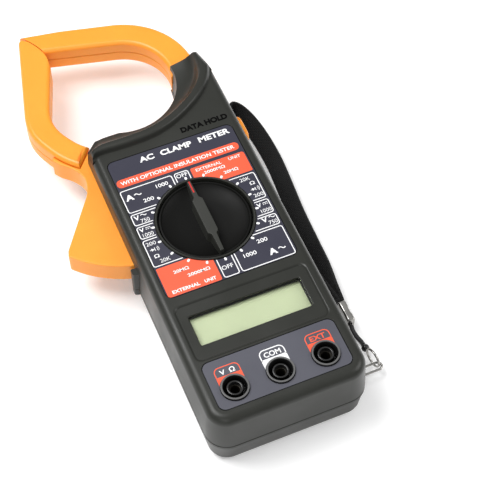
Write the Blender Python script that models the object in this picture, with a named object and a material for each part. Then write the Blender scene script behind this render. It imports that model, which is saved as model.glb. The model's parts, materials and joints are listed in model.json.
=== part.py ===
"""Clamp meter with an opening current jaw, a rotary range dial and a wrist strap.

The meter lies on its back. +Z is the outward normal of the front face, +Y runs from the
sockets to the jaws and +X points to the hold button. The origin is on the flat back, on the
centre line, below the middle of the front panel. Sizes are in millimetres and are turned into
metres where a mesh is made.
"""
import math

import bmesh
import bpy
from mathutils import Matrix, Vector

MM = 0.001
GAP = 0.3  # clearance between pieces that touch
OVERCUT = 3.0  # how far a cutter runs past the wall that it cuts
MIN_CORNER_R = 0.5

# Case
HALF_WIDTH = 34.3
BOTTOM_Y = -62.0
CASE_HEIGHT = 34.0
SPLIT_Z = 14.5
WALL = 2.2
BOTTOM_CORNER_R = 9.5
SHOULDER_Y = 83.0
SHOULDER_TIP = (-28.5, 89.5)
HORN_OUTER = (31.4, 116.6)
HORN_ROOT_Y = 104.0
FRONT_DRAFT = 0.9
FRONT_EDGE_R = 3.8
REAR_DRAFT = 0.6
REAR_EDGE_R = 3.6
WINDOW_CENTRE = (-7.8, 114.2)
WINDOW_R = 25.0
WINDOW_FROM, WINDOW_TO = 8.0, -118.0  # degrees, clockwise along the window's lower edge
GUARD_CREST_R = 35.6
GUARD_CREST_Z = 36.6
GUARD_FOOT_R = 39.8
GUARD_LIP_Z = 29.0
CAVITY_TOP_Z = CASE_HEIGHT - WALL
CAVITY_FLOOR_Z = 2.2

# Clamp lever, its slot and its pin
PIVOT = (-21.0, 72.0)
LEVER_Z = (13.6, 23.8)
SLOT_Z = (LEVER_Z[0] - GAP - 0.1, LEVER_Z[1] + GAP + 0.4)
FAN_R = 47.8
FAN_FROM, FAN_TO = -100.0, -139.5  # degrees about the pivot
HUB_R = 4.6
PIN_R = 1.9
PIN_Z = (3.2, 30.4)
PIN_POST_R = 4.0
SLOT_END_Y = PIVOT[1] - FAN_R - 0.6
SPRING_WIRE_R = 0.5
SPRING_COIL_R = 3.6

# Jaws
JAW_Z = (12.5, 25.5)
JAW_SPLIT_Z = 19.0
JAW_WALL = 1.7
FIXED_CENTRE = (-5.5, 119.7)
FIXED_INNER_R, FIXED_OUTER_R = 23.3, 35.6
FIXED_LEAN = 75.9  # degrees, direction of the normal of the straight stretch
FIXED_ROOT_ANGLE = -14.0
MOVING_CENTRE = (-14.0, 110.0)
MOVING_INNER_R, MOVING_OUTER_R = 25.2, 36.5
MOVING_ROOT_ANGLE = -130.5
MOVING_CORNER = (-38.6, 162.4)
MOVING_TIP = (-31.2, 148.5)
MOVING_NOSE = (-31.0, 140.5)
CORE_WIDTH = 6.0
CORE_Z = (15.4, 22.2)
CORE_CENTRE = (-9.4, 112.5)
CORE_R = 33.4
CORE_MEET_X = -20.6

# Dial and rotary switch
DIAL_CENTRE = (0.0, 30.0)
DIAL_HOLE_R = 20.0
DIAL_RING_R = 21.2
KNOB_R = 19.4
KNOB_Z = (29.2, 33.4)
BAR_TOP_Z = 36.2
BAR_HALF_LENGTH = 18.6
BAR_WIDE_HALF_LENGTH = 8.6
BAR_HALF_WIDTH = 2.3
BAR_END_HALF_WIDTH = 1.1
ROTOR_R = 15.0
ROTOR_Z = (27.5, 28.9)
DETENT_COUNT = 18
DETENT_RING_R = (16.3, 18.6)
BALL_R = 0.65

# Labels and display
LABEL_DEPTH = 0.5
LABEL_X, LABEL_Y = 28.5, (-0.8, 72.0)
SOCKET_LABEL_X, SOCKET_LABEL_Y = 28.0, (-55.5, -33.8)
BEZEL_X, BEZEL_Y = 27.6, (-31.2, -6.0)
LCD_X, LCD_Y = 23.6, (-24.9, -11.7)
LCD_SEAT_Z = 31.6

# Board
BOARD_Z = (25.2, 26.8)
BOARD_X = 25.4
BOARD_Y = (-54.0, 67.0)

# Sockets
SOCKET_PITCH = 19.15
SOCKET_Y = -47.9
SOCKET_OUTER_R = 5.7
SOCKET_WELL_R = 4.6
SOCKET_POST_R = 3.3
SOCKET_SLEEVE_R = 2.35
SOCKET_BORE_R = 2.0
SOCKET_Z = (21.4, 35.0)

# Battery
BATTERY_SIZE = (26.5, 46.4, 17.5)
BATTERY_Y0 = -58.6
BATTERY_Z0 = 2.7
DOOR_X, DOOR_Y = 15.5, (-59.0, -3.4)
DOOR_Z = (0.0, 2.0)

# Hold button
HOLD_Y, HOLD_Z = 75.8, 21.8
HOLD_HALF_LENGTH, HOLD_HALF_HEIGHT = 6.8, 2.9
HOLD_FACE_X = 37.0
HOLD_TRAVEL = 1.2

# Case screws stand in posts of the front shell
CASE_SCREWS = ((-29.0, -34.0), (29.0, -34.0), (0.5, 63.0), (28.6, 60.0))
BOARD_SCREWS = ((-21.0, 4.0), (21.0, 4.0))
POST_R = 3.2
SCREW_R = 1.4
SCREW_HEAD_R = 2.6

# Wrist strap: middle line (x, y, z) and lean of the webbing in degrees from upright
STRAP_WIDTH, STRAP_THICKNESS = 8.5, 1.2
STRAP_ROUTE = (
    (43.9, -13.6, 3.9, 4), (43.9, -6, 4.2, 14), (44.0, 6, 3.9, 36), (44.3, 20, 3.7, 44),
    (44.9, 36, 3.6, 48), (46.3, 52, 3.5, 50), (47.3, 66, 3.5, 50), (47.1, 79, 3.5, 50),
    (45.9, 90, 3.6, 46), (43.8, 98, 3.9, 34), (41.2, 101.6, 4.4, 18), (38.9, 99.4, 4.7, 8),
    (37.9, 92, 4.8, 2), (37.5, 78, 4.8, 2), (37.3, 60, 4.8, 2), (37.3, 40, 4.8, 2),
    (37.6, 20, 4.8, 2), (38.6, 6, 4.7, 3), (40.4, -4, 4.4, 3), (41.9, -10, 4.1, 3),
    (42.4, -13.6, 3.9, 3),
)
CRIMP_X, CRIMP_Y, CRIMP_Z = (41.4, 45.0), (-24.0, -13.9), (0.7, 7.1)
CORD_R = 0.8
CORD_ROUTE = ((43.2, -24.4, 2.6), (42.9, -27.0, 2.2), (43.3, -30.0, 1.9), (43.9, -32.6, 2.0),
              (43.9, -34.6, 2.6))
BEAD_CENTRE, BEAD_R = (43.8, -36.6, 3.3), 1.7
RING_CENTRE, RING_R, RING_WIRE_R = (44.2, -42.9, 5.0), 4.1, 0.5
RING_TURN = -80.0  # degrees of the ring's plane from +X
LINK_X, LINK_Y, LINK_Z, LINK_HALF_WIDTH = (35.9, 46.6), -46.9, 4.6, 2.3
LUG_X, LUG_HALF_Y, LUG_Z = (32.0, 38.4), 1.1, (1.6, 7.8)


# ---------------------------------------------------------------- helpers

def clear_scene():
    """Remove every object that the open file holds."""
    for item in list(bpy.data.objects):
        bpy.data.objects.remove(item, do_unlink=True)


def material(name, colour, roughness, metallic=0.0):
    """Return a Principled material."""
    made = bpy.data.materials.new(name)
    made.use_nodes = True
    shader = made.node_tree.nodes["Principled BSDF"]
    shader.inputs["Base Color"].default_value = (*colour, 1.0)
    shader.inputs["Roughness"].default_value = roughness
    shader.inputs["Metallic"].default_value = metallic
    return made


def link(name, mesh, surface=None):
    """Make an object from a mesh and put it in the scene."""
    made = bpy.data.objects.new(name, mesh)
    bpy.context.scene.collection.objects.link(made)
    if surface is not None:
        mesh.materials.append(material(name, *surface))
    return made


def from_bmesh(name, shape, surface=None):
    """Scale a millimetre bmesh to metres and link it."""
    bmesh.ops.recalc_face_normals(shape, faces=shape.faces)
    bmesh.ops.scale(shape, vec=(MM, MM, MM), verts=shape.verts)
    mesh = bpy.data.meshes.new(name)
    shape.to_mesh(mesh)
    shape.free()
    return link(name, mesh, surface)


def loft(name, rings, surface=None):
    """Join rings of (outline, z) into a closed solid with flat ends."""
    shape = bmesh.new()
    loops = []
    for outline, z in rings:
        loops.append([shape.verts.new((x, y, z)) for x, y in outline])
    for low, high in zip(loops, loops[1:]):
        count = len(low)
        for i in range(count):
            j = (i + 1) % count
            shape.faces.new((low[i], low[j], high[j], high[i]))
    shape.faces.new(reversed(loops[0]))
    shape.faces.new(loops[-1])
    return from_bmesh(name, shape, surface)


def prism(name, outline, z_range, surface=None):
    """Extrude an outline between two heights."""
    return loft(name, [(outline, z_range[0]), (outline, z_range[1])], surface)


def box(name, x_range, y_range, z_range, surface=None):
    """Make a block from its three ranges."""
    (x0, x1), (y0, y1) = x_range, y_range
    return prism(name, [(x0, y0), (x1, y0), (x1, y1), (x0, y1)], z_range, surface)


def disc(name, centre, radius, z_range, surface=None, sides=24):
    """Make an upright round solid."""
    return prism(name, arc(centre, radius, 0, 360, sides)[:-1], z_range, surface)


def turned(name, centre, profile, surface=None, sides=32):
    """Turn a closed (radius, z) profile about an upright axis."""
    shape = bmesh.new()
    columns = []
    for i in range(sides):
        angle = math.tau * i / sides
        c, s = math.cos(angle), math.sin(angle)
        columns.append([(centre[0] + r * c, centre[1] + r * s, z) for r, z in profile])
    axis = {k: shape.verts.new((*centre, z)) for k, (r, z) in enumerate(profile) if r == 0}
    grid = []
    for column in columns:
        grid.append([axis.get(k) or shape.verts.new(p) for k, p in enumerate(column)])
    for i in range(sides):
        here, there = grid[i], grid[(i + 1) % sides]
        for k in range(len(profile)):
            m = (k + 1) % len(profile)
            corners = []
            for vert in (here[k], there[k], there[m], here[m]):
                if vert not in corners:
                    corners.append(vert)
            if len(corners) > 2:
                shape.faces.new(corners)
    return from_bmesh(name, shape, surface)


def arc(centre, radius, start, end, steps):
    """List the points of an arc in degrees, both ends included."""
    points = []
    for i in range(steps + 1):
        angle = math.radians(start + (end - start) * i / steps)
        points.append((centre[0] + radius * math.cos(angle), centre[1] + radius * math.sin(angle)))
    return points


def rounded(corners, steps=5):
    """Turn (x, y, radius) corners into an outline with round corners."""
    points = []
    count = len(corners)
    for i, (x, y, radius) in enumerate(corners):
        if radius == 0:
            points.append((x, y))
            continue
        here = Vector((x, y))
        before = (Vector(corners[i - 1][:2]) - here).normalized()
        after = (Vector(corners[(i + 1) % count][:2]) - here).normalized()
        half = before.angle(after) / 2
        middle = here + (before + after).normalized() * (radius / math.sin(half))
        first = here + before * (radius / math.tan(half)) - middle
        last = here + after * (radius / math.tan(half)) - middle
        turn = first.angle_signed(last)
        for k in range(steps + 1):
            spin = Matrix.Rotation(-turn * k / steps, 2)
            points.append(tuple(middle + spin @ first))
    return points


def rounded_box(x, y_range, radius, steps=4):
    """Return the outline of a rectangle that is centred on x = 0, with round corners."""
    y0, y1 = y_range
    return rounded([(-x, y0, radius), (x, y0, radius), (x, y1, radius), (-x, y1, radius)], steps)


def inset(corners, distance):
    """Move an anticlockwise outline inwards. A round corner keeps its centre."""
    moved = []
    count = len(corners)
    for i, corner in enumerate(corners):
        here = Vector(corner[:2])
        before = (here - Vector(corners[i - 1][:2])).normalized()
        after = (Vector(corners[(i + 1) % count][:2]) - here).normalized()
        normal = Vector((-before.y - after.y, before.x + after.x)).normalized()
        scale = max(normal.dot(Vector((-before.y, before.x))), 0.5)
        spot = here + normal * (distance / scale)
        radius = corner[2] if len(corner) > 2 else 0
        if radius > 0:
            bend = before.x * after.y - before.y * after.x
            radius = max(radius - math.copysign(distance, bend), MIN_CORNER_R)
        moved.append((spot.x, spot.y, radius))
    return moved


def plan_at(corners, distance=0.0, steps=6):
    """Return the outline of a set of corners, moved inwards by a distance."""
    return rounded(inset(corners, distance), steps)


def polar(centre, radius, degrees):
    """Return the point at a radius and an angle from a centre."""
    angle = math.radians(degrees)
    return (centre[0] + radius * math.cos(angle), centre[1] + radius * math.sin(angle))


def boolean(target, other, operation="DIFFERENCE"):
    """Combine two solids with a live modifier and hide the second one."""
    step = target.modifiers.new(other.name, "BOOLEAN")
    step.operation = operation
    step.solver = "EXACT"
    step.object = other
    other.hide_render = True
    other.display_type = "WIRE"


def smooth(item, degrees=32):
    """Shade an object smooth, with creases at sharper angles."""
    item.data.shade_smooth()
    item.data.set_sharp_from_angle(angle=math.radians(degrees))


def tube(name, points, radius, surface, cyclic=False, resolution=2):
    """Sweep a round section along points with a poly curve."""
    curve = bpy.data.curves.new(name, "CURVE")
    curve.dimensions = "3D"
    curve.bevel_depth = radius * MM
    curve.bevel_resolution = resolution
    curve.use_fill_caps = True
    curve.render_resolution_u = 0
    spline = curve.splines.new("POLY")
    spline.points.add(len(points) - 1)
    for spot, point in zip(spline.points, points):
        spot.co = (*(c * MM for c in point), 1.0)
    spline.use_cyclic_u = cyclic
    return link(name, curve, surface)


def smooth_route(points, steps):
    """Read a Catmull-Rom curve through the points, any number of values each."""
    padded = [points[0], *points, points[-1]]
    route = []
    for a, b, c, d in zip(padded, padded[1:], padded[2:], padded[3:]):
        for k in range(steps):
            t = k / steps
            route.append(tuple(
                0.5 * (2 * q + (r - p) * t + (2 * p - 5 * q + 4 * r - s) * t ** 2
                       + (3 * q - p - 3 * r + s) * t ** 3)
                for p, q, r, s in zip(a, b, c, d)))
    route.append(tuple(points[-1]))
    return route


# ---------------------------------------------------------------- surfaces

CASE_GREY = ((0.07, 0.07, 0.066), 0.42)
JAW_ORANGE = ((0.95, 0.35, 0.03), 0.38)
BLACK = ((0.012, 0.012, 0.012), 0.4)
SLATE = ((0.055, 0.055, 0.075), 0.5)
STEEL = ((0.6, 0.6, 0.6), 0.3, 1.0)
BRASS = ((0.75, 0.55, 0.25), 0.3, 1.0)
COPPER = ((0.7, 0.32, 0.15), 0.35, 1.0)
LAMINATION = ((0.28, 0.28, 0.3), 0.45, 0.9)
BOARD_GREEN = ((0.03, 0.16, 0.07), 0.45)
LCD_GREEN = ((0.64, 0.72, 0.46), 0.3)
CLEAR = ((0.8, 0.85, 0.8), 0.08)
IVORY = ((0.75, 0.72, 0.62), 0.5)


# ---------------------------------------------------------------- case

def window_angle(start, end, distance, side):
    """Angle at which a side of the case, moved inwards, meets the window's arc."""
    along = (Vector(end) - Vector(start)).normalized()
    normal = Vector((-along.y, along.x))
    offset = (Vector(start) - Vector(WINDOW_CENTRE)).dot(normal) + distance
    reach = math.sqrt((WINDOW_R + distance) ** 2 - offset ** 2)
    spot = normal * offset + along * reach * side
    return math.degrees(math.atan2(spot.y, spot.x))


def case_plan(distance=0.0, steps=5):
    """Plan of the case, moved inwards: straight flanks, a horn and the window's arc."""
    w = HALF_WIDTH
    horn_end = polar(WINDOW_CENTRE, WINDOW_R, WINDOW_FROM)
    shoulder_start = polar(WINDOW_CENTRE, WINDOW_R, WINDOW_TO)
    frame = [
        (-w, BOTTOM_Y, BOTTOM_CORNER_R), (w, BOTTOM_Y, BOTTOM_CORNER_R), (w, HORN_ROOT_Y, 6.0),
        (*HORN_OUTER, 3.0), (*horn_end, 0), (*shoulder_start, 0), (*SHOULDER_TIP, 1.6),
        (-w, SHOULDER_Y, 1.6),
    ]
    outline = rounded(inset(frame, distance), steps)
    first = window_angle(HORN_OUTER, horn_end, distance, -1)
    last = window_angle(shoulder_start, SHOULDER_TIP, distance, 1)
    window = arc(WINDOW_CENTRE, WINDOW_R + distance, first, last, 3 * steps + 2)
    plain = 4 * (steps + 1)
    return outline[:plain] + window + outline[plain + 2:]


def rounded_edge(start_inset, start_z, radius, direction, steps=4):
    """Return the rings of a quarter-round edge that ends in a flat face."""
    rings = []
    for k in range(1, steps + 1):
        angle = math.pi / 2 * k / steps
        rings.append((case_plan(start_inset + radius * (1 - math.cos(angle))),
                      start_z + direction * radius * math.sin(angle)))
    return rings


def lever_slot():
    """Cutter for the opening in the left flank that the clamp lever moves in."""
    plan = [(-60, SLOT_END_Y), (PIVOT[0] - 3, SLOT_END_Y), (PIVOT[0] - 3, 84), (-24, 100), (-60, 100)]
    return prism("slot_cutter", plan, SLOT_Z)


def screw_post(shell, spot, z_range, radius, bore, bore_z):
    """Add a round post with a blind bore to a shell."""
    boolean(shell, disc(f"post_{shell.name}_{spot[0]:.0f}_{spot[1]:.0f}", spot, radius, z_range,
                        sides=12), "UNION")
    boolean(shell, disc(f"bore_{shell.name}_{spot[0]:.0f}_{spot[1]:.0f}", spot, bore, bore_z,
                        sides=10))


def jaw_root_room(z_range):
    """Cutter for the space that the fixed jaw's root takes in the horn."""
    outer = FIXED_OUTER_R + 2 * GAP
    inner = FIXED_INNER_R - 3.0
    plan = arc(FIXED_CENTRE, inner, 30, FIXED_ROOT_ANGLE - 2, 6)
    plan += arc(FIXED_CENTRE, outer, FIXED_ROOT_ANGLE - 2, 30, 6)
    return prism("jaw_root_cutter", plan, z_range)


def make_front_case():
    """Front shell: rounded face, guard crest, cavity, dial hole, display and label recesses."""
    base = SPLIT_Z + GAP / 2
    edge_z = CASE_HEIGHT - FRONT_EDGE_R
    rings = [(case_plan(), base), (case_plan(FRONT_DRAFT), edge_z)]
    rings += rounded_edge(FRONT_DRAFT, edge_z, FRONT_EDGE_R, 1)
    shell = loft("front_case", rings, CASE_GREY)

    guard = turned("guard_ring", WINDOW_CENTRE, [
        (WINDOW_R - 3, 26), (GUARD_FOOT_R, 26), (GUARD_FOOT_R, CASE_HEIGHT - 0.4),
        (GUARD_FOOT_R - 2.2, CASE_HEIGHT + 0.9), (GUARD_CREST_R + 0.8, GUARD_CREST_Z),
        (GUARD_CREST_R - 0.8, GUARD_CREST_Z), (WINDOW_R - 3, GUARD_CREST_Z)], sides=40)
    boolean(guard, prism("guard_trim", case_plan(FRONT_DRAFT + 0.8, 4), (20, 45)), "INTERSECT")
    boolean(shell, guard, "UNION")
    slope = turned("guard_slope", WINDOW_CENTRE, [
        (0, GUARD_LIP_Z - 0.9), (WINDOW_R - 2, GUARD_LIP_Z - 0.9), (WINDOW_R + 5, GUARD_LIP_Z + 2.2),
        (GUARD_CREST_R - 1.6, GUARD_CREST_Z - 1), (GUARD_CREST_R - 0.9, GUARD_CREST_Z + 0.2),
        (GUARD_CREST_R - 0.9, 45), (0, 45)], sides=40)
    boolean(shell, slope)

    cavity = prism("front_cavity", case_plan(WALL + FRONT_DRAFT), (SPLIT_Z - OVERCUT, CAVITY_TOP_Z - 1.6))
    under_guard = turned("guard_mass", WINDOW_CENTRE, [
        (0, 27), (WINDOW_R + 2, 27), (WINDOW_R + 7, 28.4), (GUARD_CREST_R, 31), (GUARD_CREST_R, 45),
        (0, 45)], sides=32)
    boolean(cavity, under_guard)
    boolean(shell, cavity)
    boolean(shell, jaw_root_room((SPLIT_Z - OVERCUT, JAW_Z[1] + 2 * GAP)))
    boolean(shell, lever_slot())

    boolean(shell, disc("dial_ring", DIAL_CENTRE, DIAL_RING_R, (CAVITY_TOP_Z - 4, CASE_HEIGHT + 0.25),
                        sides=40), "UNION")
    boolean(shell, disc("dial_hole", DIAL_CENTRE, DIAL_HOLE_R, (20, 45), sides=40))
    ring_clear = arc(DIAL_CENTRE, DIAL_RING_R, 0, 360, 56)[:-1]
    label_seat = prism("label_seat", rounded_box(LABEL_X + 0.2, (LABEL_Y[0] - 0.2, LABEL_Y[1] + 0.2), 3),
                       (CASE_HEIGHT - LABEL_DEPTH, 45))
    boolean(label_seat, prism("label_ring_keep", ring_clear, (30, 50)))
    boolean(shell, label_seat)
    boolean(shell, prism("socket_label_seat", rounded_box(
        SOCKET_LABEL_X + 0.2, (SOCKET_LABEL_Y[0] - 0.2, SOCKET_LABEL_Y[1] + 0.2), 3.2),
        (CASE_HEIGHT - LABEL_DEPTH, 45)))
    boolean(shell, prism("bezel_seat", rounded_box(BEZEL_X, BEZEL_Y, 4), (CASE_HEIGHT - 0.6, 45)))
    boolean(shell, prism("lcd_opening", rounded_box(LCD_X, LCD_Y, 1), (20, 45)))
    boolean(shell, prism("lcd_window_seat", rounded_box(LCD_X + 1.6, (LCD_Y[0] - 1.6, LCD_Y[1] + 1.6), 1),
                         (CAVITY_TOP_Z - 3, LCD_SEAT_Z + 0.2)))
    for x in socket_places():
        boolean(shell, disc(f"socket_hole_{x:.0f}", (x, SOCKET_Y), SOCKET_OUTER_R + GAP, (20, 45)))
    boolean(shell, box("hold_opening", (HALF_WIDTH - 6, HALF_WIDTH + 4),
                       (HOLD_Y - HOLD_HALF_LENGTH - GAP, HOLD_Y + HOLD_HALF_LENGTH + GAP),
                       (HOLD_Z - HOLD_HALF_HEIGHT - GAP, HOLD_Z + HOLD_HALF_HEIGHT + GAP)))
    for spot in CASE_SCREWS:
        screw_post(shell, spot, (SPLIT_Z + GAP, CAVITY_TOP_Z), POST_R, SCREW_R + GAP, (10, 26))
    screw_post(shell, PIVOT, (LEVER_Z[1] + GAP, CAVITY_TOP_Z), PIN_POST_R, PIN_R + GAP,
               (10, PIN_Z[1] + GAP))
    smooth(shell)


def make_rear_case():
    """Rear shell: rounded back, battery bay, posts for the screws, strap lug."""
    base = SPLIT_Z - GAP / 2
    edge_z = REAR_EDGE_R
    rings = [(case_plan(), base), (case_plan(REAR_DRAFT), edge_z)]
    rings += rounded_edge(REAR_DRAFT, edge_z, REAR_EDGE_R, -1)
    shell = loft("rear_case", rings[::-1], CASE_GREY)
    lug = box("strap_lug", LUG_X, (LINK_Y - LUG_HALF_Y, LINK_Y + LUG_HALF_Y), LUG_Z)
    boolean(shell, lug, "UNION")
    cavity = prism("rear_cavity", case_plan(WALL + REAR_DRAFT), (CAVITY_FLOOR_Z, 30))
    boolean(shell, cavity)

    wall_plan = rounded_box(BATTERY_SIZE[0] / 2 + 1.9, (BATTERY_Y0 - 6, -2.2), 0.5, 2)
    bay_wall = prism("bay_wall", wall_plan, (1.0, 12.0))
    boolean(bay_wall, prism("bay_trim", case_plan(1.2), (0, 40)), "INTERSECT")
    boolean(shell, bay_wall, "UNION")
    boolean(shell, box("bay_room", (-BATTERY_SIZE[0] / 2 - 0.5, BATTERY_SIZE[0] / 2 + 0.5),
                       (BATTERY_Y0 - GAP, -3.8), (CAVITY_FLOOR_Z, 30)))
    boolean(shell, box("door_opening", (-DOOR_X - GAP, DOOR_X + GAP), (DOOR_Y[0] - GAP, DOOR_Y[1] + GAP),
                       (-5, DOOR_Z[1] + GAP)))
    boolean(shell, box("bay_mouth", (-BATTERY_SIZE[0] / 2 - 0.5, BATTERY_SIZE[0] / 2 + 0.5),
                       (BATTERY_Y0 - GAP, -8.0), (-5, 5)))
    boolean(shell, lever_slot())
    boolean(shell, jaw_root_room((JAW_Z[0] - 2 * GAP, 30)))

    for spot in CASE_SCREWS:
        screw_post(shell, spot, (1.0, SPLIT_Z - GAP), POST_R, SCREW_R + GAP, (-5, 30))
        boolean(shell, disc(f"head_{spot[0]:.0f}_{spot[1]:.0f}", spot, SCREW_HEAD_R + GAP, (-5, 3.4),
                            sides=16))
    screw_post(shell, PIVOT, (1.0, 5.8), PIN_POST_R - 1.4, PIN_R + GAP, (PIN_Z[0] - GAP, 30))
    boolean(shell, disc("door_screw_post", (0, -5.6), 1.5, (-5, 30), sides=12))
    hole = turned("lug_hole", (0, 0), [(0, -4), (1.3, -4), (1.3, 4), (0, 4)], sides=12)
    hole.location = (36.3 * MM, LINK_Y * MM, LINK_Z * MM)
    hole.rotation_euler = (math.pi / 2, 0, 0)
    boolean(shell, hole)
    smooth(shell)


def screw(name, spot, z_range, head_height, head_r=SCREW_HEAD_R, shank_r=SCREW_R - 0.1):
    """Pan-head screw with a cross recess, head at the low end."""
    low, high = z_range
    body = turned(name, spot, [
        (0, low), (head_r - 0.4, low), (head_r, low + 0.5), (head_r, low + head_height),
        (shank_r, low + head_height), (shank_r, high - 0.8), (0.4, high), (0, high)], STEEL, sides=12)
    arm, half = head_r * 0.62, 0.28
    cross = [(arm, -half), (arm, half), (half, half), (half, arm), (-half, arm), (-half, half),
             (-arm, half), (-arm, -half), (-half, -half), (-half, -arm), (half, -arm), (half, -half)]
    boolean(body, prism(f"{name}_cross", [(spot[0] + x, spot[1] + y) for x, y in cross],
                        (low - 2, low + 0.8)))
    smooth(body)


def make_screws():
    """Screws of the case, the battery door and the board."""
    for number, spot in enumerate(CASE_SCREWS, 1):
        screw(f"case_screw_{number}", spot, (0.9, 24.5), 2.1)
    screw("battery_door_screw", (0, -5.6), (0.3, 8.0), 1.2, 2.2, 1.1)
    for number, spot in enumerate(BOARD_SCREWS, 1):
        x, y = spot
        post = disc(f"board_post_{number}", spot, 2.6, (BOARD_Z[1] + GAP, CAVITY_TOP_Z), sides=12)
        boolean(bpy.data.objects["front_case"], post, "UNION")
        boolean(bpy.data.objects["front_case"],
                disc(f"board_bore_{number}", spot, 1.3, (20, CAVITY_TOP_Z - 1.9), sides=12))
        screw(f"board_screw_{number}", (x, y), (BOARD_Z[0] - 1.8, 29.4), 1.5, 2.0, 1.0)


# ---------------------------------------------------------------- panel pieces

def socket_places():
    """x of the three sockets."""
    return [SOCKET_PITCH * k for k in (-1, 0, 1)]


def make_labels():
    """Printed overlays in their recesses."""
    z_range = (CASE_HEIGHT - LABEL_DEPTH + 0.05, CASE_HEIGHT - 0.05)
    label = prism("dial_label", rounded_box(LABEL_X, LABEL_Y, 2.8), z_range, SLATE)
    boolean(label, disc("dial_label_hole", DIAL_CENTRE, DIAL_RING_R + 0.15, (20, 45), sides=40))
    panel = prism("socket_label", rounded_box(SOCKET_LABEL_X, SOCKET_LABEL_Y, 3), z_range, SLATE)
    for x in socket_places():
        boolean(panel, disc(f"socket_label_hole_{x:.0f}", (x, SOCKET_Y), SOCKET_OUTER_R + 0.2, (20, 45)))


def make_display():
    """Clear window, LCD glass, its frame and the rubber connector strip."""
    y0, y1 = LCD_Y
    prism("lcd_window", rounded_box(LCD_X + 1.3, (y0 - 1.3, y1 + 1.3), 0.8), (30.5, LCD_SEAT_Z), CLEAR)
    box("lcd_glass", (-LCD_X - 0.6, LCD_X + 0.6), (y0 - 0.6, y1 + 0.6), (28.6, 30.1), LCD_GREEN)
    frame = box("lcd_frame", (-LCD_X - 1.4, LCD_X + 1.4), (y0 - 1.6, y1 + 4.0), (27.1, 30.1), BLACK)
    boolean(frame, box("lcd_glass_room", (-LCD_X - 0.9, LCD_X + 0.9), (y0 - 0.9, y1 + 0.9), (28.3, 40)))
    boolean(frame, box("lcd_back_light", (-LCD_X + 2, LCD_X - 2), (y0 + 3, y1 - 1), (20, 40)))
    box("lcd_rubber_connector", (-LCD_X + 3, LCD_X - 3), (y0 + 0.2, y0 + 2.6), (27.1, 28.0), IVORY)
    boolean(frame, box("connector_room", (-LCD_X + 2.7, LCD_X - 2.7), (y0 - 0.1, y0 + 2.9), (20, 40)))


def make_sockets():
    """Shrouded test-lead sockets with a brass sleeve in each."""
    low, high = SOCKET_Z
    floor = low + 2.4
    for x, label in zip(socket_places(), ("volt_ohm", "common", "external")):
        body = turned(f"socket_{label}", (x, SOCKET_Y), [
            (SOCKET_SLEEVE_R + GAP, low), (SOCKET_OUTER_R, low), (SOCKET_OUTER_R, high - 0.4),
            (SOCKET_OUTER_R - 0.4, high), (SOCKET_WELL_R + 0.2, high), (SOCKET_WELL_R, high - 0.3),
            (SOCKET_WELL_R, floor), (SOCKET_POST_R, floor), (SOCKET_POST_R, high - 2.6),
            (SOCKET_POST_R - 0.3, high - 2.3), (SOCKET_SLEEVE_R + GAP, high - 2.3)], BLACK, sides=20)
        smooth(body)
        sleeve = turned(f"socket_sleeve_{label}", (x, SOCKET_Y), [
            (SOCKET_BORE_R, low - 0.4), (SOCKET_SLEEVE_R, low - 0.4), (SOCKET_SLEEVE_R, high - 3.0),
            (SOCKET_BORE_R, high - 3.0)], BRASS, sides=14)
        smooth(sleeve)


# ---------------------------------------------------------------- dial

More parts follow.
